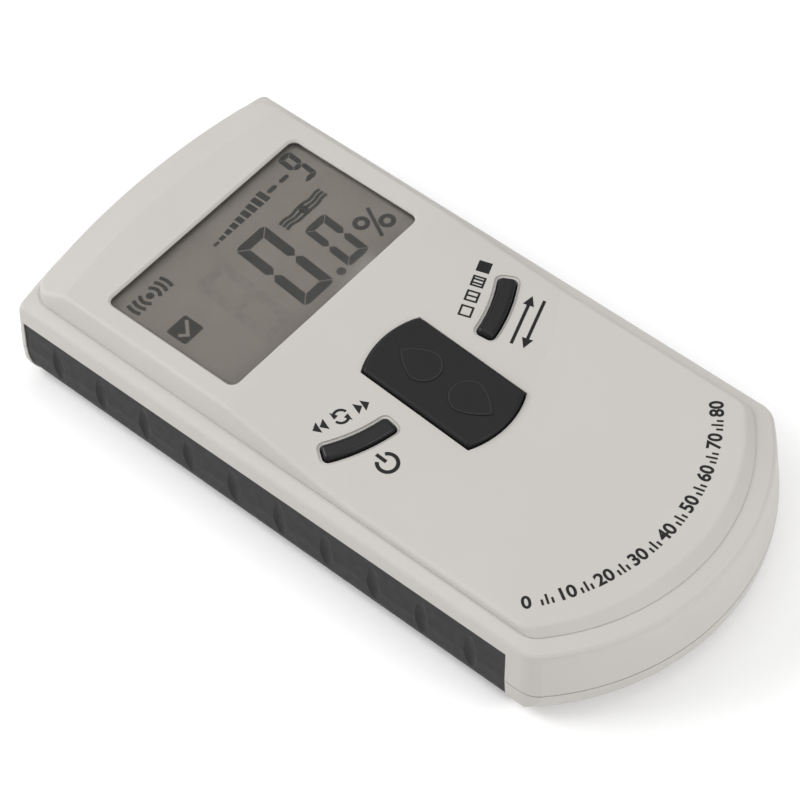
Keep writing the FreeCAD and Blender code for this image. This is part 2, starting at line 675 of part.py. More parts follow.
def switch_bodies():
    half = SWITCH_SIZE / 2
    bodies = []
    for x, y in switch_places().values():
        case = box(x - half, x + half, y - half, y + half, BOARD_TOP_Z, BOARD_TOP_Z + SWITCH_BODY)
        case = case.makeFillet(0.3, level_edges(case, BOARD_TOP_Z + SWITCH_BODY))
        well = rod(x, y, PLUNGER_LOW_Z - KEY_TRAVEL - 0.1, HIGH, PLUNGER_RADIUS + 0.1)
        bodies.append(case.cut(well))
    return Part.makeCompound(bodies)


def plunger(name):
    x, y = switch_places()[name]
    button = rod(x, y, PLUNGER_LOW_Z, PLUNGER_TOP_Z, PLUNGER_RADIUS)
    return button.makeFillet(0.25, level_edges(button, PLUNGER_TOP_Z))


def microcontroller():
    """Flat package under the board with leads on four sides."""
    x, y = CHIP_AT
    z1 = BOARD_LOW_Z - 0.1
    body = box(x - 5, x + 5, y - 5, y + 5, z1 - 1.4, z1)
    body = body.makeChamfer(0.3, level_edges(body, z1 - 1.4))
    leads = []
    for k in range(8):
        step = -3.5 + k
        leads.append(box(x + step - 0.2, x + step + 0.2, y - 6.1, y + 6.1, z1 - 0.5, z1 + 0.1))
        leads.append(box(x - 6.1, x + 6.1, y + step - 0.2, y + step + 0.2, z1 - 0.5, z1 + 0.1))
    return fuse_all([body] + leads)


def crystal():
    z1 = BOARD_LOW_Z
    can = rounded_box(10.6, 4.4, 2.19, 12, 14, z1 - 3.4, z1)
    rim = rounded_box(11.3, 4.9, 2.44, 12, 14, z1 - 0.4, z1)
    return fuse_all([can.makeFillet(0.5, level_edges(can, z1 - 3.4)), rim])


def storage_capacitor():
    z1 = BOARD_LOW_Z
    can = rod(14, -2, z1 - 7, z1, 3.15)
    bead = Part.makeTorus(3.35, 0.4, V(14, -2, z1 - 1.4), V(0, 0, 1))
    return can.cut(bead).makeFillet(0.3, level_edges(can.cut(bead), z1 - 7))


def sensor_coil():
    """Drum-shaped inductor of the measuring oscillator."""
    z1 = BOARD_LOW_Z
    parts = [rod(20, 26, z1 - 5, z1 - 4, 4.0), rod(20, 26, z1 - 4, z1 - 1, 3.0),
             rod(20, 26, z1 - 1, z1, 4.0)]
    return fuse_all(parts)


def chip_parts():
    """Small resistors and capacitors under the board, in two rows."""
    chips = []
    for row, y in enumerate((18.6, -12.0)):
        for k in range(7):
            x = -22 + 4.2 * k
            long_side = 2.0 if (k + row) % 2 else 1.6
            chips.append(box(x - long_side / 2, x + long_side / 2, y - 0.6, y + 0.6,
                             BOARD_LOW_Z - 0.7, BOARD_LOW_Z))
    return Part.makeCompound(chips)


# ---- keys ----------------------------------------------------------------------------------------------
def side_key(side):
    """Key cap with a retaining flange inside and a stem over its switch."""
    cap = under_face(key_prism(side, KEY_FLANGE_Z, HIGH, 0.9), -KEY_PROUD)
    crown = [edge for edge in cap.Edges if edge.BoundBox.ZMin > KEY_FLANGE_Z + 2.0]
    cap = cap.makeFillet(KEY_CROWN, crown)
    flange = key_prism(side, KEY_FLANGE_Z, KEY_FLANGE_Z + 0.8, 1.4, 0.9)
    x, y = SIDE_SWITCH
    stem = rod(side * x, y, PLUNGER_TOP_Z + CONTACT_GAP, KEY_FLANGE_Z + 0.4, 2.0)
    return fuse_all([cap, flange, stem])


def teardrop(z, point_y, round_y, radius):
    """A drop: a round end and two sides that bow out to a point."""
    direction = 1 if point_y > round_y else -1
    shoulder = round_y + direction * radius
    reach = point_y - shoulder
    tip = V(0, point_y, z)
    left = V(-radius, shoulder, z)
    right = V(radius, shoulder, z)
    left_side = Part.Arc(left, V(-radius * 0.62, shoulder + reach * 0.55, z), tip).toShape()
    right_side = Part.Arc(tip, V(radius * 0.62, shoulder + reach * 0.55, z), right).toShape()
    base = Part.Arc(right, V(0, round_y, z), left).toShape()
    return Part.Wire([left_side, right_side, base])


def above_rocker(lift):
    """Space above the rocker's flat sloping top."""
    fall = (ROCKER_TOP_Z - ROCKER_LOW_Z) / (ROCKER_TOP_Y - ROCKER_LOW_Y)
    y0 = LOW_Y
    y1 = TOP_Y
    z0 = ROCKER_LOW_Z + fall * (y0 - ROCKER_LOW_Y) + lift
    z1 = ROCKER_LOW_Z + fall * (y1 - ROCKER_LOW_Y) + lift
    corners = [V(-FAR, y0, z0), V(-FAR, y1, z1), V(-FAR, y1, 60), V(-FAR, y0, 60)]
    return Part.Face(Part.makePolygon(corners + corners[:1])).extrude(V(2 * FAR, 0, 0))


def rocker_button():
    cap = prism(rocker_wire(ROCKER_BASE_Z), 12)
    upright = [edge for edge in cap.Edges if edge.BoundBox.ZLength > 11]
    cap = cap.makeFillet(0.9, upright).cut(above_rocker(0.0))
    top_edges = [edge for edge in cap.Edges if edge.BoundBox.ZMin > ROCKER_LOW_Z - 1.0]
    cap = cap.makeFillet(0.7, top_edges)
    drops = [teardrop(ROCKER_BASE_Z, *drop) for drop in DROPS]
    raised = [prism(drop, 12).cut(above_rocker(DROP_RISE)) for drop in drops]
    hub = Part.makeCylinder(2.0, 2 * ROCKER_HALF_WIDTH - 0.8, V(0.4 - ROCKER_HALF_WIDTH, PIN_Y, PIN_Z),
                            V(1, 0, 0))
    parts = [cap, hub] + raised
    for reach in (ROCKER_SWITCH_REACH, -ROCKER_SWITCH_REACH):
        ball_z = PLUNGER_TOP_Z + CONTACT_GAP + 1.5
        parts.append(Part.makeSphere(1.5, V(0, PIN_Y + reach, ball_z)))
    bore = Part.makeCylinder(PIN_RADIUS + PIN_FIT, 40, V(-20, PIN_Y, PIN_Z), V(1, 0, 0))
    return fuse_all(parts).cut(bore)


def rocker_pin():
    reach = EAR_X + EAR_THICK
    return Part.makeCylinder(PIN_RADIUS, 2 * reach, V(-reach, PIN_Y, PIN_Z), V(1, 0, 0))


# ---- battery ---------------------------------------------------------------------------------------------
def terminal_centres():
    y = (BATTERY_Y[0] + BATTERY_Y[1]) / 2
    z = (BATTERY_Z[0] + BATTERY_Z[1]) / 2
    return [(y - 6.35, z), (y + 6.35, z)]


def battery():
    block = box(BATTERY_X[0], BATTERY_X[1], *BATTERY_Y, *BATTERY_Z)
    long_edges = [edge for edge in block.Edges if edge.BoundBox.XLength > 40]
    return block.makeFillet(2.2, long_edges)


def battery_terminals():
    """A round stud and a petal socket on the end of the battery."""
    x = BATTERY_X[1]
    stud_at, socket_at = terminal_centres()
    stud = Part.makeCylinder(2.85, 2.6, V(x, *stud_at), V(1, 0, 0))
    socket = Part.makeCylinder(3.9, 2.6, V(x, *socket_at), V(1, 0, 0))
    well = Part.makeCylinder(2.9, 2.2, V(x + 0.6, *socket_at), V(1, 0, 0))
    return Part.makeCompound([stud, socket.cut(well)])


def battery_snap():
    """Moulded cap that presses onto both terminals."""
    y = (BATTERY_Y[0] + BATTERY_Y[1]) / 2
    z = (BATTERY_Z[0] + BATTERY_Z[1]) / 2
    x0 = BATTERY_X[1] + 0.3
    block = box(x0, x0 + SNAP_DEPTH, y - SNAP_HALF, y + SNAP_HALF, z - 6.2, z + 6.2)
    long_edges = [edge for edge in block.Edges if edge.BoundBox.XLength > SNAP_DEPTH - 0.1]
    block = block.makeFillet(3.0, long_edges)
    wells = [Part.makeCylinder(4.05, 2.6, V(BATTERY_X[1], *at), V(1, 0, 0)) for at in terminal_centres()]
    return carve(block, wells)


def lead_solid(name, points):
    """A round lead along straight runs joined by tangent arcs; the radii are printed."""
    edges = []
    radii = []
    start = points[0]
    for before, corner, after in zip(points, points[1:], points[2:]):
        back = (before - corner).normalize()
        ahead = (after - corner).normalize()
        shorter = min(before.distanceToPoint(corner), after.distanceToPoint(corner))
        turn = math.pi - back.getAngle(ahead)
        radius = 0.45 * shorter / math.tan(turn / 2)
        centre = corner + (back + ahead).normalize() * (radius / math.cos(turn / 2))
        enter = corner + back * (radius * math.tan(turn / 2))
        leave = corner + ahead * (radius * math.tan(turn / 2))
        middle = centre + (corner - centre).normalize() * radius
        edges.append(Part.LineSegment(start, enter).toShape())
        edges.append(Part.Arc(enter, middle, leave).toShape())
        radii.append(round(radius, 2))
        start = leave
    edges.append(Part.LineSegment(start, points[-1]).toShape())
    path = Part.Wire(edges)
    along = (points[1] - points[0]).normalize()
    section = Part.Wire(Part.makeCircle(LEAD_RADIUS, points[0], along))
    solid = path.makePipeShell([section], True, False)
    expected = math.pi * LEAD_RADIUS ** 2 * path.Length
    print(name, "length", round(path.Length, 2), "radii", radii, "volume share",
          round(solid.Volume / expected, 4))
    return solid


def battery_lead(name, x, rise_y):
    start_y = (BATTERY_Y[0] + BATTERY_Y[1]) / 2 + SNAP_HALF
    return lead_solid(name, [V(x, start_y, LEAD_Z), V(x, rise_y, LEAD_Z), V(x, rise_y, BOARD_LOW_Z)])


def battery_foam():
    z = FLOOR_Z
    return rounded_box(30, 16, 1.0, 0, -47, z, z + 0.3)


# ---- sensor -----------------------------------------------------------------------------------------------
def sensor_plate():
    return rounded_box(40, 34, 3.0, 0, SENSOR_Y, FLOOR_Z, FLOOR_Z + PLATE_THICK)


def sensor_insulator():
    z0 = FLOOR_Z + PLATE_THICK
    sheet = rounded_box(42, 36, 3.0, 0, SENSOR_Y, z0, z0 + 1.0)
    return sheet.cut(rod(0, SENSOR_Y, 0, HIGH, 4.5))


def sensor_spring():
    """Coil spring that joins the sensing plate to the board."""
    wire = 0.3
    z0 = FLOOR_Z + PLATE_THICK + wire
    height = BOARD_LOW_Z - wire - z0
    helix = Part.makeHelix(height / 6, height, SPRING_RADIUS)
    helix.translate(V(0, SENSOR_Y, z0))
    section = Part.Wire(Part.makeCircle(wire, V(SPRING_RADIUS, SENSOR_Y, z0), V(0, 1, 0)))
    return Part.Wire(helix).makePipeShell([section], True, True)


# ---- fasteners and label --------------------------------------------------------------------------------------
def screw(x, y, seat_z, head_radius, head_height, shank_radius, length):
    """Pan-head screw driven upwards, with a cross slot."""
    head = rod(x, y, seat_z - head_height, seat_z, head_radius)
    head = head.makeFillet(head_height * 0.5, level_edges(head, seat_z - head_height))
    shank = rod(x, y, seat_z, seat_z + length, shank_radius)
    z0 = seat_z - head_height - 1
    z1 = seat_z - head_height * 0.45
    reach = head_radius * 0.6
    slot = [box(x - reach, x + reach, y - 0.3, y + 0.3, z0, z1),
            box(x - 0.3, x + 0.3, y - reach, y + reach, z0, z1)]
    return carve(head.fuse(shank), slot)


def case_screws():
    return Part.makeCompound([screw(x, y, SCREW_SEAT_Z, SCREW_HEAD_RADIUS, 1.7, SCREW_RADIUS, 13.0)
                              for x, y in SCREW_AT])


def board_screws():
    return Part.makeCompound([screw(x, y, BOARD_LOW_Z, 1.9, 1.2, BOARD_SCREW_RADIUS, 5.0)
                              for x, y in BOARD_SCREW_AT])


def rear_label():
    return rounded_box(LABEL_SIZE[0], LABEL_SIZE[1], 1.4, 0, LABEL_Y, BACK_Z + 0.05, BACK_Z + 0.2)


def all_parts():
    casing = casing_volume()
    cavity = cavity_volume()
    parts = {
        "front_cover": front_cover(casing, cavity),
        "rear_cover": rear_cover(casing, cavity),
        "left_grip": grip(-1),
        "right_grip": grip(1),
        "lcd_window": lcd_window(),
        "lcd_glass": lcd_glass(),
        "lcd_reflector": lcd_reflector(),
        "lcd_frame": lcd_frame(),
        "zebra_connector": zebra_box(0.0),
        "main_board": main_board(),
        "microcontroller": microcontroller(),
        "crystal": crystal(),
        "storage_capacitor": storage_capacitor(),
        "sensor_coil": sensor_coil(),
        "chip_parts": chip_parts(),
        "switch_bodies": switch_bodies(),
        "mode_button": side_key(-1),
        "density_button": side_key(1),
        "rocker_button": rocker_button(),
        "rocker_pin": rocker_pin(),
        "battery_door": battery_door(casing, cavity),
        "battery_foam": battery_foam(),
        "battery": battery(),
        "battery_terminals": battery_terminals(),
        "battery_snap": battery_snap(),
        "red_lead": battery_lead("red_lead", 22.6, -22.0),
        "black_lead": battery_lead("black_lead", 20.4, -21.0),
        "sensor_plate": sensor_plate(),
        "sensor_insulator": sensor_insulator(),
        "sensor_spring": sensor_spring(),
        "case_screws": case_screws(),
        "board_screws": board_screws(),
        "rear_label": rear_label(),
    }
    for name in switch_places():
        parts[name + "_plunger"] = plunger(name)
    return parts


def main():
    os.makedirs("parts", exist_ok=True)
    for name, shape in all_parts().items():
        print(name, shape.ShapeType, "solids", len(shape.Solids), "valid", shape.isValid(),
              "volume", round(shape.Volume, 1))
        shape.exportStep("parts/" + name + ".step")


main()
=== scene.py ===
import math

import bmesh
import bpy
from mathutils import Matrix, Vector
from mathutils.bvhtree import BVHTree


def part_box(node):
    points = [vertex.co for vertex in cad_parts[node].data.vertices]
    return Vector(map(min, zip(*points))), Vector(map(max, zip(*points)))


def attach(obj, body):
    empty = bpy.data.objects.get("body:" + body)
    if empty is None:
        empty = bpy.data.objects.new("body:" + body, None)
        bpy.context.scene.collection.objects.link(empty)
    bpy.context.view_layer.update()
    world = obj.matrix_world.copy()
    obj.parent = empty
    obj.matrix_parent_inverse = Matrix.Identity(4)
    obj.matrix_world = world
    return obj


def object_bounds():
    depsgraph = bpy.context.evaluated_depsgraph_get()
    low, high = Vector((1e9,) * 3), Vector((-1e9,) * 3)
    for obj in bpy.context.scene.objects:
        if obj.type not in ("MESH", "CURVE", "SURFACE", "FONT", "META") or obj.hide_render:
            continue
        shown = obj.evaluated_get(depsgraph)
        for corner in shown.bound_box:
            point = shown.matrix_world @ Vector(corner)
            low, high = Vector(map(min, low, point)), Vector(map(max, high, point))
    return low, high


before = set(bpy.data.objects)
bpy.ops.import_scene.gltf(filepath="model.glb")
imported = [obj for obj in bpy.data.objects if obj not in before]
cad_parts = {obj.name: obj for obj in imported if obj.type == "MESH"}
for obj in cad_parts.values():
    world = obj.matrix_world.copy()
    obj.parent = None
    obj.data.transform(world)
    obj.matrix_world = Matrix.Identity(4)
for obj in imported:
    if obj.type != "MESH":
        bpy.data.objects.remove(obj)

CAD_LOW, CAD_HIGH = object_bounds()
MM = 0.001
MM_PER_METRE = 1000.0

# ---- places read from the frame, in metres ----------------------------------------------
WINDOW_LOW, WINDOW_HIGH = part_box("lcd_window")
WINDOW_CENTRE = (WINDOW_LOW + WINDOW_HIGH) / 2
GLASS_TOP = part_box("lcd_glass")[1].z
LABEL_LOW, LABEL_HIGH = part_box("rear_label")
BATTERY_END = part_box("battery")[1].x
COIL_LOW, COIL_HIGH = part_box("sensor_coil")

# ---- colours, as linear values ----------------------------------------------------------
CASING_COLOUR = (0.524, 0.505, 0.477)
GRIP_COLOUR = (0.0100, 0.0095, 0.0099)
KEY_COLOUR = (0.0092, 0.0092, 0.0102)
INK_COLOUR = (0.0075, 0.0075, 0.0082)
LCD_COLOUR = (0.128, 0.115, 0.102)
SEGMENT_COLOUR = (0.0085, 0.0080, 0.0074)
GHOST_COLOUR = (0.112, 0.101, 0.090)

# ---- camera, light and floor ------------------------------------------------------------
CAMERA_AT = Vector((-0.2723, -0.2680, 0.5104))
CAMERA_RIGHT = Vector((0.65537, -0.75348, -0.05246))
CAMERA_AHEAD = Vector((0.42998, 0.42929, -0.79424))
CAMERA_LENS = 142.8
CAMERA_SENSOR = 36.0
CAMERA_CLIP = (0.01, 20.0)

SKY_STRENGTH = 0.40
LAMPS = (                    # name, size, watts, place; each is aimed at the origin
    ("key_light", (0.8, 0.6), 10.0, (-0.45, 0.85, 0.75)),
    ("top_light", (1.1, 1.1), 4.2, (0.25, 0.05, 1.25)),
    ("fill_light", (0.8, 0.6), 5.0, (0.15, -0.95, 0.55)),
    ("side_light", (0.7, 0.5), 0.4, (-0.95, -0.15, 0.45)),
)
FLOOR_REACH = 3.0
FLOOR_GLOW = 0.08


def link(item):
    bpy.context.scene.collection.objects.link(item)


def add_camera():
    data = bpy.data.cameras.new("camera")
    data.lens = CAMERA_LENS
    data.sensor_width = CAMERA_SENSOR
    data.clip_start, data.clip_end = CAMERA_CLIP
    camera = bpy.data.objects.new("camera", data)
    link(camera)
    right = CAMERA_RIGHT.normalized()
    up = right.cross(CAMERA_AHEAD).normalized()
    back = right.cross(up)
    camera.matrix_world = Matrix((
        (right.x, up.x, back.x, CAMERA_AT.x),
        (right.y, up.y, back.y, CAMERA_AT.y),
        (right.z, up.z, back.z, CAMERA_AT.z),
        (0, 0, 0, 1),
    ))
    bpy.context.scene.camera = camera


def add_lamp(name, size, watts, at):
    data = bpy.data.lights.new(name, "AREA")
    data.shape = "RECTANGLE"
    data.size, data.size_y = size
    data.energy = watts
    lamp = bpy.data.objects.new(name, data)
    link(lamp)
    lamp.location = at
    lamp.rotation_mode = "QUATERNION"
    lamp.rotation_quaternion = (-Vector(at)).to_track_quat("-Z", "Y")


def add_studio():
    scene = bpy.context.scene
    scene.view_settings.view_transform = "Standard"
    world = bpy.data.worlds.new("studio")
    world.use_nodes = True
    sky = world.node_tree.nodes["Background"]
    sky.inputs["Color"].default_value = (1.0, 1.0, 1.0, 1)
    sky.inputs["Strength"].default_value = SKY_STRENGTH
    scene.world = world
    for lamp in LAMPS:
        add_lamp(*lamp)


def add_floor():
    mesh = bpy.data.meshes.new("floor")
    reach = FLOOR_REACH
    corners = [(-reach, -reach), (reach, -reach), (reach, reach), (-reach, reach)]
    mesh.from_pydata([(x, y, CAD_LOW.z) for x, y in corners], [], [(0, 1, 2, 3)])
    floor = bpy.data.objects.new("floor", mesh)
    link(floor)
    t = Tree("floor_paper")
    grain = t.noise(size=1.5)
    t.colour(t.ramp(grain, [(0.3, (0.94, 0.94, 0.94)), (0.7, (0.96, 0.96, 0.96))]))
    t.roughness(t.spread(grain, 0.8, 0.9))
    t.fixed(Specular_IOR_Level=0.1, Emission_Color=(1, 1, 1, 1), Emission_Strength=FLOOR_GLOW)
    mesh.materials.append(t.material)


# ---- node helpers -----------------------------------------------------------------------
NOISE_RANGE = (0.3, 0.7)     # where nearly all of a noise texture's values lie


class Tree:
    """A material's nodes: a Principled shader, and short ways to add what feeds it."""

    def __init__(self, name):
        self.material = bpy.data.materials.new(name)
        self.material.use_nodes = True
        self.tree = self.material.node_tree
        self.shader = self.tree.nodes["Principled BSDF"]
        self.place = self.tree.nodes.new("ShaderNodeTexCoord").outputs["Object"]

    def add(self, kind, links=(), **settings):
        node = self.tree.nodes.new(kind)
        for key, value in settings.items():
            setattr(node, key, value)
        for socket, source in links:
            if isinstance(source, bpy.types.NodeSocket):
                self.tree.links.new(source, node.inputs[socket])
            else:
                node.inputs[socket].default_value = source
        return node

    def scaled(self, stretch=(1, 1, 1)):
        """Object coordinates in millimetres, stretched."""
        scale = [MM_PER_METRE * share for share in stretch]
        node = self.add("ShaderNodeMapping", [("Vector", self.place), ("Scale", scale)])
        return node.outputs["Vector"]

    def along(self, axis):
        """One object coordinate, in metres."""
        return self.add("ShaderNodeSeparateXYZ", [("Vector", self.place)]).outputs[axis]

    def noise(self, size, detail=3.0, rough=0.5, stretch=(1, 1, 1)):
        """Noise with features of about this size in millimetres."""
        node = self.add("ShaderNodeTexNoise", [
            ("Vector", self.scaled(stretch)), ("Scale", 1.0 / size), ("Detail", detail),
            ("Roughness", rough)])
        return node.outputs["Fac"]

    def spots(self, size, feature="F1"):
        """Round cells of about this size in millimetres."""
        node = self.add("ShaderNodeTexVoronoi", [
            ("Vector", self.scaled()), ("Scale", 1.0 / size)], feature=feature)
        return node.outputs["Distance"]

    def waves(self, scale, direction, distortion=0.0):
        """Even bands across one direction."""
        node = self.add("ShaderNodeTexWave", [
            ("Vector", self.scaled()), ("Scale", scale), ("Distortion", distortion)],
            bands_direction=direction)
        return node.outputs["Fac"]

    def rise(self, source, low, high, interpolation="LINEAR"):
        """0 below low, 1 above high."""
        node = self.add("ShaderNodeMapRange", [
            ("Value", source), ("From Min", low), ("From Max", high)],
            interpolation_type=interpolation)
        return node.outputs["Result"]

    def spread(self, source, low, high):
        """A noise's usual values spread over low to high."""
        node = self.add("ShaderNodeMapRange", [
            ("Value", source), ("From Min", NOISE_RANGE[0]), ("From Max", NOISE_RANGE[1]),
            ("To Min", low), ("To Max", high)])
        return node.outputs["Result"]

    def ramp(self, source, stops):
        node = self.add("ShaderNodeValToRGB", [("Fac", source)])
        elements = node.color_ramp.elements
        while len(elements) < len(stops):
            elements.new(0.5)
        for element, (where, colour) in zip(elements, stops):
            element.position = where
            element.color = (*colour, 1)
        return node.outputs["Color"]

    def tones(self, source, colour, dark, light, low=0.3, high=0.7):
        """The colour, from its dark share to its light share as the source rises."""
        return self.ramp(source, [(low, shade(colour, dark)), (high, shade(colour, light))])

    def mixed(self, share, first, second):
        node = self.add("ShaderNodeMix", data_type="RGBA")
        for socket, source in ((0, share), (6, first), (7, second)):
            if isinstance(source, bpy.types.NodeSocket):
                self.tree.links.new(source, node.inputs[socket])
            else:
                node.inputs[socket].default_value = (*source, 1)
        return node.outputs[2]

    def maths(self, operation, first, second=0.0):
        node = self.add("ShaderNodeMath", [(0, first), (1, second)], operation=operation)
        return node.outputs["Value"]

    def colour(self, source):
        self.tree.links.new(source, self.shader.inputs["Base Color"])

    def roughness(self, source):
        self.tree.links.new(source, self.shader.inputs["Roughness"])

    def bump(self, height, depth):
        """Relief of this depth in millimetres."""
        node = self.add("ShaderNodeBump", [
            ("Height", height), ("Distance", depth * MM), ("Strength", 1.0)])
        self.tree.links.new(node.outputs["Normal"], self.shader.inputs["Normal"])

    def fixed(self, **values):
        for name, value in values.items():
            self.shader.inputs[name.replace("_", " ")].default_value = value


def shade(colour, share):
    return tuple(channel * share for channel in colour)


def plastic(name, colour, variation=0.04, rough=(0.45, 0.6), grain=0.25, depth=0.012):
    """Moulded plastic: soft patches, a fine grain in relief and in gloss."""
    t = Tree(name)
    fine = t.noise(size=grain, detail=4.0, rough=0.6)
    patches = t.tones(t.noise(size=9.0, detail=2.0), colour, 1 - variation, 1 + variation)
    t.colour(t.mixed(t.spread(fine, 0.0, 1.0), patches, shade(colour, 1 - variation)))
    t.roughness(t.spread(t.noise(size=3.6), *rough))
    t.bump(fine, depth)
    t.fixed(Specular_IOR_Level=0.4)
    return t.material


def metal(name, colour, rough=(0.22, 0.4), stretch=(1, 0.08, 1)):
    """Metal with drawn or rolled lines and faint stains."""
    t = Tree(name)
    lines = t.noise(size=0.2, rough=0.6, stretch=stretch)
    t.colour(t.tones(t.noise(size=4.0), colour, 0.88, 1.0, high=0.72))
    t.roughness(t.spread(lines, *rough))
    t.bump(lines, depth=0.004)
    t.fixed(Metallic=1.0)
    return t.material


# ---- materials of the outside -----------------------------------------------------------
VIEW_HALF = (27.55, 17.15)   # half the window's opening, mm
RIM_SHADE = (0.9, 0.6)       # the rim's shadow starts inside the opening and ends outside it, mm


def casing_material():
    """Warm pale grey ABS with a fine spark-eroded texture."""
    t = Tree("casing_plastic")
    sparks = t.noise(size=0.16, rough=0.65)
    pits = t.spots(0.28, "SMOOTH_F1")
    relief = t.maths("ADD", sparks, t.maths("MULTIPLY", pits, 0.5))
    cloud = t.noise(size=26.0, rough=0.55)
    flow = t.noise(size=6.0, detail=4.0, rough=0.6, stretch=(1.0, 0.35, 1.0))
    base = t.tones(cloud, CASING_COLOUR, 0.975, 1.02, low=0.25, high=0.75)
    specks = t.mixed(t.spread(sparks, 0.0, 0.35), base, shade(CASING_COLOUR, 0.9))
    t.colour(t.mixed(t.spread(flow, 0.0, 0.12), specks, shade(CASING_COLOUR, 1.05)))
    t.roughness(t.spread(flow, 0.46, 0.6))
    t.bump(relief, depth=0.016)
    t.fixed(Specular_IOR_Level=0.38)
    return t.material


def grip_material():
    """Satin black soft-touch rubber, a little dusty in its fine texture."""
    t = Tree("grip_rubber")
    fine = t.noise(size=0.2, detail=4.0, rough=0.62)
    cloud = t.noise(size=7.0, rough=0.6)
    base = t.tones(cloud, GRIP_COLOUR, 0.94, 1.07, low=0.28, high=0.74)
    t.colour(t.mixed(t.spread(fine, 0.0, 0.5), base, shade(GRIP_COLOUR, 1.35)))
    t.roughness(t.spread(t.noise(size=2.2, detail=4.0), 0.47, 0.55))
    t.bump(fine, depth=0.014)
    t.fixed(Specular_IOR_Level=0.28)
    return t.material


def key_material(name, rough, grain, depth, lift):
    """Black silicone with an etched texture; lift makes it lighter or darker."""
    t = Tree(name)
    etched = t.noise(size=grain, rough=0.6)
    pits = t.spots(grain * 1.4, "SMOOTH_F1")
    relief = t.maths("ADD", etched, t.maths("MULTIPLY", pits, 0.6))
    cloud = t.noise(size=5.0)
    base = t.tones(cloud, KEY_COLOUR, 0.9 * lift, 1.1 * lift, high=0.72)
    t.colour(t.mixed(t.spread(etched, 0.0, 0.4), base, shade(KEY_COLOUR, 1.5 * lift)))
    t.roughness(t.spread(cloud, *rough))
    t.bump(relief, depth)
    t.fixed(Specular_IOR_Level=0.27)
    return t.material


def ink_material():
    """Screen-printed black ink, slightly uneven."""
    t = Tree("printed_ink")
    cover = t.noise(size=0.35, detail=4.0, rough=0.6)
    t.colour(t.tones(cover, INK_COLOUR, 1.0, 1.6, high=0.75))
    t.roughness(t.spread(cover, 0.36, 0.52))
    t.bump(cover, depth=0.004)
    t.fixed(Specular_IOR_Level=0.25)
    return t.material


def lens_material():
    """Clear acrylic that lets the lamps' light through to the display."""
    t = Tree("clear_lens")
    haze = t.noise(size=12.0)
    t.roughness(t.spread(haze, 0.02, 0.05))
    t.colour(t.ramp(haze, [(0.3, (0.955, 0.955, 0.94)), (0.7, (0.985, 0.985, 0.975))]))
    t.fixed(Transmission_Weight=1.0, IOR=1.49)
    clear = t.add("ShaderNodeBsdfTransparent", [("Color", (0.9, 0.9, 0.885, 1))])
    path = t.add("ShaderNodeLightPath")
    choice = t.add("ShaderNodeMixShader", [
        (0, path.outputs["Is Shadow Ray"]), (1, t.shader.outputs["BSDF"]),
        (2, clear.outputs["BSDF"])])
    surface_input = t.tree.nodes["Material Output"].inputs["Surface"]
    t.tree.links.new(choice.outputs["Shader"], surface_input)
    return t.material


def rim_share(t):
    """0 over most of the display and 1 at its edge, where the window's rim shades it."""
    inside, outside = RIM_SHADE
    shares = []
    for axis, centre, half in zip("XY", WINDOW_CENTRE, VIEW_HALF):
        away = t.maths("ABSOLUTE", t.maths("SUBTRACT", t.along(axis), centre))
        shares.append(t.rise(away, (half - inside) * MM, (half + outside) * MM, "SMOOTHSTEP"))
    return t.maths("MAXIMUM", *shares)


def lcd_material():
    """Grey reflective liquid-crystal glass: brushed reflector, cloudy polariser, and a painted
    shadow of the window's rim darkening its edge.
    """
    t = Tree("lcd_grey")
    cloud = t.noise(size=9.0, detail=4.0, rough=0.62)
    brushed = t.noise(size=0.5, detail=4.0, rough=0.6, stretch=(1.0, 0.12, 1.0))
    dust = t.noise(size=0.22, rough=0.6)
    base = t.tones(cloud, LCD_COLOUR, 0.94, 1.05, low=0.25, high=0.75)
    lined = t.mixed(t.spread(brushed, 0.0, 0.5), base, shade(LCD_COLOUR, 0.93))
    speckled = t.mixed(t.spread(dust, 0.0, 0.35), lined, shade(LCD_COLOUR, 1.1))
    # painted shadow: the glass darkens to 0.6 of its colour at its edge, under the window's rim
    t.colour(t.mixed(rim_share(t), speckled, shade(LCD_COLOUR, 0.6)))
    t.roughness(t.spread(cloud, 0.3, 0.42))
    t.bump(dust, depth=0.003)
    t.fixed(Specular_IOR_Level=0.35)
    return t.material


def segment_material(name, colour):
    """Liquid-crystal segments with a faint mottle of the electrode."""
    t = Tree(name)
    cloud = t.noise(size=1.6)
    fine = t.noise(size=0.2)
    base = t.tones(cloud, colour, 0.9, 1.12, high=0.72)
    t.colour(t.mixed(t.spread(fine, 0.0, 0.3), base, shade(colour, 1.25)))
    t.roughness(t.spread(cloud, 0.3, 0.42))
    t.fixed(Specular_IOR_Level=0.35)
    return t.material


# ---- materials of the inside and the back -----------------------------------------------
BATTERY_BAND = 14.0          # width of the copper-coloured band, mm
BATTERY_BLUR = 0.15          # width of the band's edge, mm


def board_material():
    """Green solder resist over copper tracks, with fine glass weave."""
    t = Tree("board_green")
    tracks = t.add("ShaderNodeTexBrick", [
        ("Vector", t.scaled()), ("Scale", 0.32), ("Mortar Size", 0.035),
        ("Color1", (0, 0, 0, 1)), ("Color2", (0, 0, 0, 1)), ("Mortar", (1, 1, 1, 1)),
    ]).outputs["Color"]
    weave = t.noise(size=0.3)
    greens = [(0.3, (0.012, 0.10, 0.035)), (0.7, (0.018, 0.135, 0.05))]
    t.colour(t.mixed(tracks, t.ramp(t.noise(size=8.0), greens), (0.035, 0.22, 0.075)))
    t.roughness(t.spread(weave, 0.24, 0.36))
    t.bump(t.maths("ADD", t.maths("MULTIPLY", weave, 0.2), tracks), depth=0.02)
    return t.material


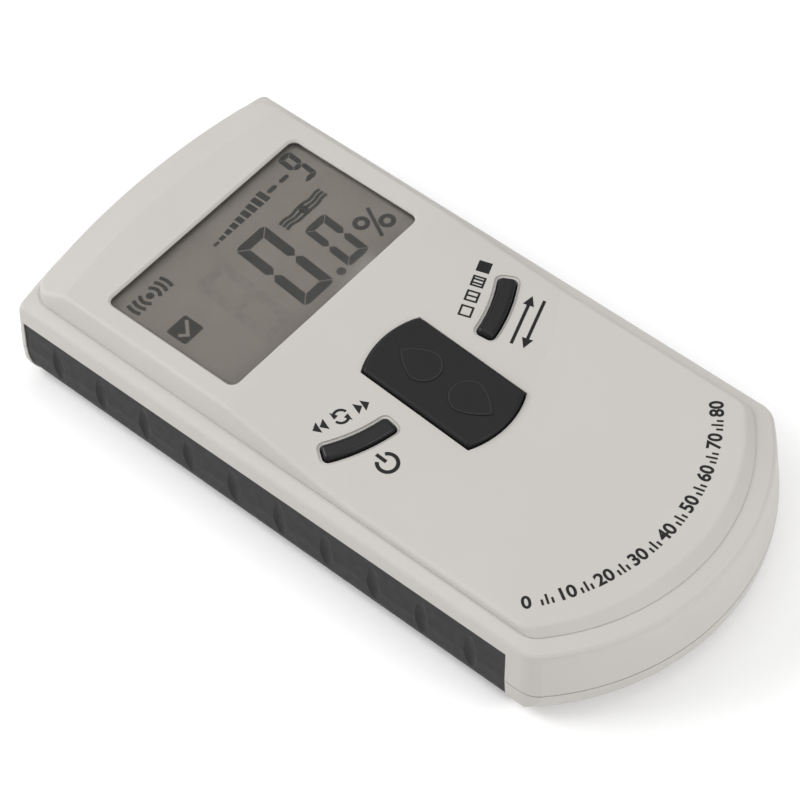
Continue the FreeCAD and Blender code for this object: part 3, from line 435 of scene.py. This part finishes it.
def battery_material():
    """Printed metal sleeve: graphite body with a copper-coloured band at the terminal end."""
    t = Tree("battery_sleeve")
    edge = BATTERY_END - BATTERY_BAND * MM
    band = t.rise(t.along("X"), edge, edge + BATTERY_BLUR * MM)
    scuffs = t.noise(size=0.6, detail=4.0, rough=0.65, stretch=(0.2, 1, 1))
    dark = t.ramp(scuffs, [(0.3, (0.028, 0.031, 0.036)), (0.75, (0.045, 0.048, 0.053))])
    warm = t.ramp(scuffs, [(0.3, (0.42, 0.20, 0.08)), (0.75, (0.52, 0.27, 0.12))])
    t.colour(t.mixed(band, dark, warm))
    t.roughness(t.spread(scuffs, 0.22, 0.38))
    t.bump(scuffs, depth=0.006)
    t.fixed(Specular_IOR_Level=0.6)
    return t.material


def foam_material():
    """Dark open-cell foam."""
    t = Tree("foam_cells")
    cells = t.spots(0.35)
    t.colour(t.ramp(cells, [(0.1, (0.012, 0.012, 0.013)), (0.6, (0.035, 0.035, 0.038))]))
    t.roughness(t.spread(cells, 0.85, 0.98))
    t.bump(cells, depth=0.12)
    t.fixed(Sheen_Weight=0.2)
    return t.material


def connector_material():
    """Zebra strip: pink silicone with fine dark conductive layers."""
    t = Tree("zebra_layers")
    lines = t.waves(1.6, "X", distortion=0.4)
    t.colour(t.ramp(lines, [(0.35, (0.03, 0.03, 0.03)), (0.6, (0.55, 0.32, 0.28))]))
    t.roughness(t.spread(lines, 0.5, 0.62))
    t.bump(lines, depth=0.01)
    return t.material


def coil_material():
    """Ferrite drum wound with enamelled copper."""
    t = Tree("coil_windings")
    height = t.rise(t.along("Z"), COIL_LOW.z, COIL_HIGH.z)
    turns = t.waves(1.1, "Z")
    copper = t.ramp(turns, [(0.2, (0.16, 0.05, 0.015)), (0.8, (0.45, 0.17, 0.06))])
    black, white = (0, 0, 0), (1, 1, 1)
    wound = t.ramp(height, [(0.19, black), (0.21, white), (0.79, white), (0.81, black)])
    t.colour(t.mixed(wound, (0.03, 0.03, 0.032), copper))
    t.roughness(t.spread(t.noise(size=0.4), 0.3, 0.5))
    t.bump(turns, depth=0.03)
    return t.material


def label_material():
    """Satin silver film with faint rolled lines."""
    t = Tree("label_silver")
    fibre = t.noise(size=0.3, detail=4.0, rough=0.6, stretch=(0.1, 1, 1))
    t.colour(t.ramp(fibre, [(0.3, (0.44, 0.44, 0.445)), (0.72, (0.52, 0.52, 0.525))]))
    t.roughness(t.spread(fibre, 0.3, 0.42))
    t.bump(fibre, depth=0.004)
    t.fixed(Metallic=0.35)
    return t.material


def paint_nodes():
    """Give every CAD node its material."""
    chosen = (
        (casing_material(), "front_cover", "rear_cover", "battery_door"),
        (grip_material(), "left_grip", "right_grip"),
        (key_material("side_key_rubber", rough=(0.3, 0.42), grain=0.3, depth=0.006, lift=1.15),
         "mode_button", "density_button"),
        (key_material("rocker_rubber", rough=(0.46, 0.6), grain=0.34, depth=0.02, lift=1.0),
         "rocker_button"),
        (plastic("black_mould", (0.02, 0.02, 0.021), 0.1), "switch_bodies", "battery_snap"),
        (metal("zinc_steel", (0.62, 0.62, 0.60)), "rocker_pin", "case_screws", "board_screws"),
        (lens_material(), "lcd_window"),
        (lcd_material(), "lcd_glass"),
        (metal("reflector_foil", (0.75, 0.74, 0.70), (0.3, 0.45), (1, 0.2, 1)),
         "lcd_reflector"),
        (plastic("white_mould", (0.62, 0.62, 0.59), 0.03), "lcd_frame"),
        (connector_material(), "zebra_connector"),
        (board_material(), "main_board"),
        (plastic("chip_epoxy", (0.018, 0.018, 0.019), 0.1, (0.55, 0.7)), "microcontroller"),
        (metal("nickel_can", (0.70, 0.69, 0.66), (0.16, 0.3)), "crystal"),
        (plastic("capacitor_sleeve", (0.012, 0.02, 0.05), 0.1, (0.25, 0.4)),
         "storage_capacitor"),
        (coil_material(), "sensor_coil"),
        (plastic("chip_ceramic", (0.16, 0.11, 0.07), 0.2, (0.35, 0.5)), "chip_parts"),
        (battery_material(), "battery"),
        (metal("nickel_contacts", (0.76, 0.73, 0.66), (0.18, 0.32)), "battery_terminals"),
        (foam_material(), "battery_foam", "sensor_insulator"),
        (plastic("red_insulation", (0.42, 0.012, 0.01), 0.08, (0.28, 0.4), 0.4, 0.006),
         "red_lead"),
        (plastic("black_insulation", (0.012, 0.012, 0.013), 0.1, (0.28, 0.4), 0.4, 0.006),
         "black_lead"),
        (metal("copper_sheet", (0.78, 0.42, 0.26), (0.28, 0.45), (0.1, 1, 1)), "sensor_plate"),
        (metal("spring_wire", (0.68, 0.67, 0.64), (0.18, 0.3)), "sensor_spring"),
        (label_material(), "rear_label"),
        (plastic("plunger_mould", (0.05, 0.05, 0.052), 0.1),
         "mode_plunger", "density_plunger", "up_plunger", "down_plunger"),
    )
    for material, *names in chosen:
        for name in names:
            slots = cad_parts[name].data.materials
            slots.clear()
            slots.append(material)


# ---- flat marks -------------------------------------------------------------------------
BAR_PIECE = 1.0              # longest piece of a bar, mm
ARC_PIECE = 7                # degrees of an arc's pieces
MITRE_LIMIT = 0.5            # a corner's mitre is at most 1 / this times half the line's width
DIGIT_RESOLUTION = 5         # pieces in each curve of a number's outline
SEAT = 0.03                  # how far a mark reaches into its surface, mm
WELD = 1e-7                  # points nearer than this are one, m


class Marks:
    """Flat shapes in millimetres, later laid on a surface and made into thin slabs."""

    def __init__(self):
        self.points = []
        self.faces = []

    def add(self, points, faces):
        start = len(self.points)
        self.points += points
        self.faces += [[start + index for index in face] for face in faces]

    def join(self, other):
        self.add(other.points, other.faces)

    def placed(self, centre, turn=0.0):
        """The same marks, turned by an angle in degrees and moved to a centre."""
        result = Marks()
        result.add(turned(self.points, centre, turn), self.faces)
        return result

    def polygon(self, points):
        self.add(points, [list(range(len(points)))])

    def ribbon(self, points, width):
        """A line of constant width with mitred corners and square ends."""
        corners = []
        for index, point in enumerate(points):
            before = Vector(points[max(index - 1, 0)])
            after = Vector(points[min(index + 1, len(points) - 1)])
            here = Vector(point)
            enter = (here - before).normalized() if index else (after - here).normalized()
            leave = (after - here).normalized() if index < len(points) - 1 else enter
            along = (enter + leave).normalized()
            reach = width / 2 / max(along.dot(enter), MITRE_LIMIT)
            side = Vector((-along.y, along.x)) * reach
            corners += [tuple(here + side), tuple(here - side)]
        faces = [[2 * k, 2 * k + 1, 2 * k + 3, 2 * k + 2] for k in range(len(points) - 1)]
        self.add(corners, faces)

    def arc(self, centre, radius, start, end, width, steps=None):
        steps = steps or max(6, int(abs(end - start) / ARC_PIECE))
        self.ribbon([on_circle(centre, radius, start + (end - start) * k / steps)
                     for k in range(steps + 1)], width)

    def ring(self, centre, radius, width, steps=48):
        points = []
        for k in range(steps):
            angle = 360 * k / steps
            points.append(on_circle(centre, radius + width / 2, angle))
            points.append(on_circle(centre, radius - width / 2, angle))
        count = len(points)
        faces = [[k, k + 1, (k + 3) % count, (k + 2) % count] for k in range(0, count, 2)]
        self.add(points, faces)

    def disc(self, centre, radius, steps=32):
        self.polygon([on_circle(centre, radius, 360 * k / steps) for k in range(steps)])

    def bar(self, x0, x1, y0, y1):
        """An upright rectangle in short pieces, so that it can follow a bent surface."""
        columns = math.ceil((x1 - x0) / BAR_PIECE)
        rows = math.ceil((y1 - y0) / BAR_PIECE)
        for column in range(columns):
            for row in range(rows):
                left, right = [x0 + (x1 - x0) * (column + k) / columns for k in (0, 1)]
                low, high = [y0 + (y1 - y0) * (row + k) / rows for k in (0, 1)]
                self.polygon([(left, low), (right, low), (right, high), (left, high)])

    def outline(self, x0, x1, y0, y1, width):
        """The edge of an upright rectangle, inside it."""
        self.bar(x0, x1, y0, y0 + width)
        self.bar(x0, x1, y1 - width, y1)
        self.bar(x0, x0 + width, y0 + width, y1 - width)
        self.bar(x1 - width, x1, y0 + width, y1 - width)

    def digits(self, text, height, centre, turn, bold):
        """Plain numbers in the built-in typeface, the foot of their middle at a centre."""
        curve = bpy.data.curves.new("number", "FONT")
        curve.body = text
        curve.align_x = "CENTER"
        curve.offset = bold
        curve.resolution_u = DIGIT_RESOLUTION
        holder = bpy.data.objects.new("number", curve)
        link(holder)
        bpy.context.view_layer.update()
        depsgraph = bpy.context.evaluated_depsgraph_get()
        mesh = bpy.data.meshes.new_from_object(holder.evaluated_get(depsgraph))
        low = min(v.co.y for v in mesh.vertices)
        scale = height / (max(v.co.y for v in mesh.vertices) - low)
        points = [(v.co.x * scale, (v.co.y - low) * scale) for v in mesh.vertices]
        faces = [list(face.vertices) for face in mesh.polygons]
        self.add(turned(points, centre, turn), faces)
        bpy.data.objects.remove(holder)
        bpy.data.curves.remove(curve)
        bpy.data.meshes.remove(mesh)


def on_circle(centre, radius, angle):
    turn = math.radians(angle)
    return (centre[0] + radius * math.cos(turn), centre[1] + radius * math.sin(turn))


def turned(points, centre, turn):
    """Points turned by an angle in degrees and moved to a centre."""
    c = math.cos(math.radians(turn))
    s = math.sin(math.radians(turn))
    return [(centre[0] + c * x - s * y, centre[1] + s * x + c * y) for x, y in points]


def arc_through(first, middle, last, steps=14):
    """Points along the arc through three points."""
    (ax, ay), (bx, by), (cx, cy) = first, middle, last
    twice = 2 * (ax * (by - cy) + bx * (cy - ay) + cx * (ay - by))
    a, b, c = ax * ax + ay * ay, bx * bx + by * by, cx * cx + cy * cy
    x = (a * (by - cy) + b * (cy - ay) + c * (ay - by)) / twice
    y = (a * (cx - bx) + b * (ax - cx) + c * (bx - ax)) / twice
    angles = [math.degrees(math.atan2(py - y, px - x)) for px, py in (first, middle, last)]
    sweep = sum((after - before + 180) % 360 - 180
                for before, after in zip(angles, angles[1:]))
    radius = math.hypot(ax - x, ay - y)
    return [on_circle((x, y), radius, angles[0] + sweep * k / steps) for k in range(steps + 1)]


def top_of(name):
    """A function that gives the height of a node's upper surface at a point, in metres."""
    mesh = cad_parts[name].data
    tree = BVHTree.FromPolygons([vertex.co.copy() for vertex in mesh.vertices],
                                [list(polygon.vertices) for polygon in mesh.polygons])
    return lambda x, y: tree.ray_cast(Vector((x, y, 1.0)), Vector((0, 0, -1)))[0].z


def mark_piece(name, marks, material, body, height, proud=0.03):
    """Lay the marks on a surface as slabs that stand a little proud of it.

    A negative proud is for a surface that faces down."""
    mesh = bpy.data.meshes.new(name)
    flat = bmesh.new()
    corners = [flat.verts.new((x * MM, y * MM, 0)) for x, y in marks.points]
    for face in marks.faces:
        flat.faces.new([corners[index] for index in face])
    bmesh.ops.remove_doubles(flat, verts=flat.verts, dist=WELD)
    bmesh.ops.recalc_face_normals(flat, faces=flat.faces)
    top = bmesh.ops.extrude_face_region(flat, geom=list(flat.faces))
    raised = {item for item in top["geom"] if isinstance(item, bmesh.types.BMVert)}
    sunk = -math.copysign(SEAT, proud)
    for vertex in flat.verts:
        level = height(vertex.co.x, vertex.co.y)
        vertex.co.z = level + (proud if vertex in raised else sunk) * MM
    bmesh.ops.recalc_face_normals(flat, faces=flat.faces)
    flat.to_mesh(mesh)
    flat.free()
    piece = bpy.data.objects.new(name, mesh)
    link(piece)
    mesh.materials.append(material)
    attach(piece, body)


# ---- printed marks on the face ----------------------------------------------------------
POWER_AT, POWER_TURN = (-21.0, -12.3), 0.0
MODE_AT, MODE_TURN = (-19.0, 1.3), -18.0
DENSITY_AT, DENSITY_TURN = (21.0, 1.4), 22.0
SWAP_AT, SWAP_TURN = (22.2, -11.3), 20.0

SCALE_CENTRE = (0.0, -18.3)
SCALE_RADIUS = 46.4
SCALE_STEP = 9.9             # degrees between numbers
SCALE_TICKS = ((0.0, 2.3), (-0.13, 1.3), (0.13, 1.3))    # place as a share of a step, length
SCALE_TICK_WIDTH = 0.46
SCALE_TICK_DROP = 0.1        # from the numbers' feet to the ticks' outer ends
SCALE_DIGIT_HEIGHT = 2.9
SCALE_DIGIT_BOLD = 0.028


def power_icon():
    icon = Marks()
    icon.arc((0, 0), 2.05, start=125, end=415, width=0.78, steps=40)
    icon.bar(-0.39, 0.39, 0.35, 2.85)
    return icon


def cycle_icon():
    """Two arrows that chase each other between two pairs of pointers: the next mode."""
    radius, line = 1.5, 0.56
    sweep, head_start, tip_turn = 112, 110, 158
    head_outer, head_inner = 2.4, 0.6
    pointer_length, pointer_half = 1.45, 1.35
    icon = Marks()
    for start in (20, 200):
        icon.arc((0, 0), radius, start, start + sweep, line)
        icon.polygon([on_circle((0, 0), radius, start + tip_turn),
                      on_circle((0, 0), head_outer, start + head_start),
                      on_circle((0, 0), head_inner, start + head_start)])
    for side in (-1, 1):
        for step in (3.3, 4.9):
            points = [(side * step, -pointer_half), (side * step, pointer_half),
                      (side * (step + pointer_length), 0)]
            icon.polygon(points[::-side])
    return icon


def density_icon():
    """Four squares, each hatched closer than the one before, and the last one full."""
    size, gap, line, count, start = 2.75, 1.1, 0.42, 4, -6.75
    low, high = -size / 2, size / 2
    icon = Marks()
    for index in range(count):
        x0 = start + index * (size + gap)
        if index == count - 1:
            icon.bar(x0, x0 + size, low, high)
            continue
        icon.outline(x0, x0 + size, low, high, line)
        for hatch in range(index):
            x = x0 + size * (hatch + 1) / (index + 1)
            icon.bar(x - line / 2, x + line / 2, low + line, high - line)
    return icon


def swap_icon():
    """Two long arrows, one each way."""
    tail, neck, tip = 6.2, 4.2, 6.4
    lane, shaft_half = 1.3, 0.33
    head_start, head_half = 3.9, 1.15
    icon = Marks()
    for side in (1, -1):
        y = side * lane
        x0, x1 = sorted((-side * tail, side * neck))
        icon.bar(x0, x1, y - shaft_half, y + shaft_half)
        points = [(side * tip, y), (side * head_start, y + head_half),
                  (side * head_start, y - head_half)]
        icon.polygon(points[::-side])
    return icon


def scale_marks():
    """A plain scale of numbers along the round end, with ticks between each two."""
    marks = Marks()
    numbers = list(range(0, 81, 10))
    for index, number in enumerate(numbers):
        turn = (index - (len(numbers) - 1) / 2) * SCALE_STEP
        foot = on_circle(SCALE_CENTRE, SCALE_RADIUS, -90 + turn)
        marks.digits(str(number), SCALE_DIGIT_HEIGHT, foot, turn, SCALE_DIGIT_BOLD)
        if number == numbers[-1]:
            continue
        for share, length in SCALE_TICKS:
            angle = -90 + turn + (0.5 + share) * SCALE_STEP
            outer = SCALE_RADIUS - SCALE_TICK_DROP
            marks.ribbon([on_circle(SCALE_CENTRE, outer, angle),
                          on_circle(SCALE_CENTRE, outer - length, angle)], SCALE_TICK_WIDTH)
    return marks


def add_face_marks(ink):
    height = top_of("front_cover")
    for name, marks in (
            ("power_mark", power_icon().placed(POWER_AT, POWER_TURN)),
            ("mode_mark", cycle_icon().placed(MODE_AT, MODE_TURN)),
            ("density_mark", density_icon().placed(DENSITY_AT, DENSITY_TURN)),
            ("swap_mark", swap_icon().placed(SWAP_AT, SWAP_TURN)),
            ("percent_scale", scale_marks())):
        mark_piece(name, marks, ink, "casing", height)


# ---- raised lines on the rocker ---------------------------------------------------------
# point, round end and radius of its two drops, just inside their edges
DROPS = ((2.25, -7.0, 3.72), (-20.45, -11.0, 3.82))
DROP_BOW = (0.62, 0.55)      # where a drop's side passes: share of the radius and of the point
DROP_LINE = 0.3
DROP_PROUD = 0.05


def add_rocker_outline():
    """A fine raised line just inside the edge of each drop, in the rocker's rubber made lighter
    as a painted highlight of the ridge.
    """
    marks = Marks()
    for point_y, round_y, radius in DROPS:
        shoulder = round_y + math.copysign(radius, point_y - round_y)
        bow = (-radius * DROP_BOW[0], shoulder + (point_y - shoulder) * DROP_BOW[1])
        left = arc_through((0, point_y), bow, (-radius, shoulder))
        base = arc_through((-radius, shoulder), (0, round_y), (radius, shoulder), 24)
        right = [(-x, y) for x, y in reversed(left)]
        marks.ribbon(left + base[1:] + right[1:], DROP_LINE)
    # painted highlight: the line is the rocker's own rubber, lifted to about 2.2 times as light
    # to stand for light caught on its ridge
    line = key_material("rocker_line_highlight_rubber", rough=(0.4, 0.5), grain=0.2, depth=0.004,
                        lift=2.2)
    mark_piece("rocker_outline", marks, line, "rocker", top_of("rocker_button"),
               DROP_PROUD)


# ---- what the display shows -------------------------------------------------------------
LCD_ORIGIN = (-0.11, 38.88)    # zero of the display's own coordinates
BIG_DIGIT = {"width": 8.6, "tall": 21.0, "thick": 2.25, "gap": 0.16, "slant": 0.085}
SMALL_DIGIT = {"width": 6.2, "tall": 13.6, "thick": 1.75, "gap": 0.13, "slant": 0.085}
MINI_DIGIT = {"width": 3.6, "tall": 8.9, "thick": 1.2, "gap": 0.1, "slant": 0.07}
DIGIT_LOW = -14.2
DASH = (1.4, 0.95, 11.4, 11.9, 12.45)    # half length, half flat, low, middle and high edge
TICK_BOX = (-25.0, -19.5, -2.0, 3.25)
TICK_BOX_CUT = 0.35


def seven_segments(shown, width, tall, thick, gap, slant):
    """One mitred seven-segment digit, its lower left corner at zero."""
    w, h, t, g = width, tall, thick, gap
    m, half = h / 2, t / 2
    flat, cut, rise = 0.9, 0.45, 0.75    # how far the outer edges stop short of a corner
    inner, nose = t + g * 0.6, half + g * 1.2
    low_join, high_join = m - g * 0.8, m + g * 0.8
    shapes = {
        "A": [(g + flat, h), (w - g - flat, h), (w - g, h - cut), (w - inner, h - t),
              (inner, h - t), (g, h - cut)],
        "D": [(g, cut), (inner, t), (w - inner, t), (w - g, cut), (w - g - flat, 0),
              (g + flat, 0)],
        "F": [(0, h - rise), (g * 0.3, h - cut - g), (t, h - t - g), (t, m + half + g),
              (half, high_join), (0, m + half + g)],
        "B": [(w, h - rise), (w, m + half + g), (w - half, high_join), (w - t, m + half + g),
              (w - t, h - t - g), (w - g * 0.3, h - cut - g)],
        "E": [(0, rise), (0, m - half - g), (half, low_join), (t, m - half - g), (t, t + g),
              (g * 0.3, cut + g)],
        "C": [(w, rise), (w - g * 0.3, cut + g), (w - t, t + g), (w - t, m - half - g),
              (w - half, low_join), (w, m - half - g)],
        "G": [(nose, m), (inner, m + half), (w - inner, m + half), (w - nose, m),
              (w - inner, m - half), (inner, m - half)],
    }
    digit = Marks()
    for letter in shown:
        digit.polygon([(x + slant * y, y) for x, y in shapes[letter]])
    return digit


def percent_sign():
    sign = Marks()
    for centre in ((-1.9, 1.9), (1.9, -1.75)):
        sign.ring(centre, radius=1.3, width=1.05)
    sign.ribbon([(-1.75, -3.65), (1.95, 3.65)], width=0.8)
    return sign


def scan_icon():
    """A pick-up point with waves on both sides."""
    reach, steepest, line = 1.75, 0.8, 0.85
    icon = Marks()
    icon.disc((0, 0), line)
    for radius in (2.0, 3.45, 4.9):
        spread = math.degrees(math.asin(min(reach / radius, steepest)))
        for middle in (0, 180):
            icon.arc((0, 0), radius, middle - spread, middle + spread, line)
    return icon


def rising_bars(x0, x1, y0, y1, count):
    first, fill = 2.4, 0.74      # the first bar's height in steps, and a bar's share of its place
    icon = Marks()
    step = (x1 - x0) / count
    for index in range(count):
        top = y0 + (y1 - y0) * (index + first) / (count - 1 + first)
        left = x0 + index * step
        icon.bar(left, left + step * fill, y0, top)
    return icon


def wood_icon(x0, x1, y0, y1):
    """A plank's grain: three wavy lines that part round a knot."""
    knot_reach, wave, pitch, bend, line, steps = 2.2, 0.22, 1.3, 0.525, 0.72, 32
    icon = Marks()
    middle = (x0 + x1) / 2
    for share in (0.06, 0.5, 0.94):
        y = y0 + share * (y1 - y0)
        points = []
        for k in range(steps + 1):
            x = x0 + (x1 - x0) * k / steps
            away = 1 - math.exp(-((x - middle) / knot_reach) ** 2)
            points.append((x, y + away * (wave * math.sin(x * pitch) - bend * (share - 0.5))))
        icon.ribbon(points, line)
    icon.ring((middle, (y0 + y1) / 2), radius=0.75, width=0.6, steps=24)
    return icon


def lcd_shapes():
    """The display's shapes by piece name, in its own coordinates."""
    digits = Marks()
    digits.join(seven_segments("ABCDEF", **BIG_DIGIT).placed((-2.95, DIGIT_LOW)))
    digits.join(seven_segments("ABCDEF", **SMALL_DIGIT).placed((10.05, DIGIT_LOW)))
    digits.join(seven_segments("ABCDFG", **MINI_DIGIT).placed((21.2, 7.45)))
    digits.disc((8.2, -13.6), 1.0)
    reach, flat, low, middle, high = DASH
    for x in (15.6, 19.2):
        digits.polygon([(x - reach, middle), (x - flat, low), (x + flat, low),
                        (x + reach, middle), (x + flat, high), (x - flat, high)])
    digits.join(percent_sign().placed((22.0, -10.3)))
    icons = scan_icon().placed((-20.35, 12.05))
    icons.join(rising_bars(-2.9, 14.2, 10.5, 13.6, count=9))
    icons.join(wood_icon(9.5, 21.6, 1.8, 4.6))
    box = Marks()
    x0, x1, y0, y1 = TICK_BOX
    cut = TICK_BOX_CUT
    box.polygon([(x0 + cut, y0), (x1 - cut, y0), (x1, y0 + cut), (x1, y1 - cut),
                 (x1 - cut, y1), (x0 + cut, y1), (x0, y1 - cut), (x0, y0 + cut)])
    tick = Marks()
    tick.ribbon([(-24.2, 0.65), (-22.9, -0.75), (-20.3, 2.1)], width=0.72)
    ghost = seven_segments("ABCDEFG", **BIG_DIGIT).placed((-14.7, DIGIT_LOW))
    return {"lcd_digits": digits, "lcd_icons": icons, "lcd_check_box": box, "lcd_check": tick,
            "lcd_ghost_digit": ghost}


def add_display():
    dark = segment_material("segment_dark", SEGMENT_COLOUR)
    light = segment_material("segment_light", shade(LCD_COLOUR, 0.98))
    ghost = segment_material("segment_ghost", GHOST_COLOUR)
    finish = {"lcd_check": (light, 0.035), "lcd_ghost_digit": (ghost, 0.012)}
    for name, shapes in lcd_shapes().items():
        material, proud = finish.get(name, (dark, 0.02))
        mark_piece(name, shapes.placed(LCD_ORIGIN), material, "casing",
                   lambda x, y: GLASS_TOP, proud)


# ---- print on the rear label ------------------------------------------------------------
LABEL_MARGIN = 1.6
LABEL_LINE = 0.35
LABEL_ROWS = 4
LABEL_ROW_STEP = 4.6
LABEL_FIRST_ROW = 5.5        # below the border's top
LABEL_BAR = 0.9
LABEL_COLUMNS = (2.5, 12.0, 14.5)        # a short bar's two ends and a long bar's start
LABEL_LONG_ENDS = (4.0, 9.0)             # from the right border, in even and odd rows
LABEL_PROUD = -0.03                      # the label's printed face looks down


def add_label_print(ink):
    """A border and rows of plain bars."""
    x0, y0 = [LABEL_LOW[axis] / MM + LABEL_MARGIN for axis in (0, 1)]
    x1, y1 = [LABEL_HIGH[axis] / MM - LABEL_MARGIN for axis in (0, 1)]
    short_start, short_end, long_start = [x0 + place for place in LABEL_COLUMNS]
    marks = Marks()
    marks.outline(x0, x1, y0, y1, LABEL_LINE)
    for row in range(LABEL_ROWS):
        y = y1 - LABEL_FIRST_ROW - LABEL_ROW_STEP * row
        long_end = x1 - LABEL_LONG_ENDS[row % 2]
        marks.bar(short_start, short_end, y, y + LABEL_BAR)
        marks.bar(long_start, long_end, y, y + LABEL_BAR)
    mark_piece("label_print", marks, ink, "casing", lambda x, y: LABEL_LOW.z,
               LABEL_PROUD)


# ---- build ------------------------------------------------------------------------------
add_camera()
add_studio()
add_floor()
paint_nodes()
add_display()
printed_ink = ink_material()
add_face_marks(printed_ink)
add_rocker_outline()
add_label_print(printed_ink)
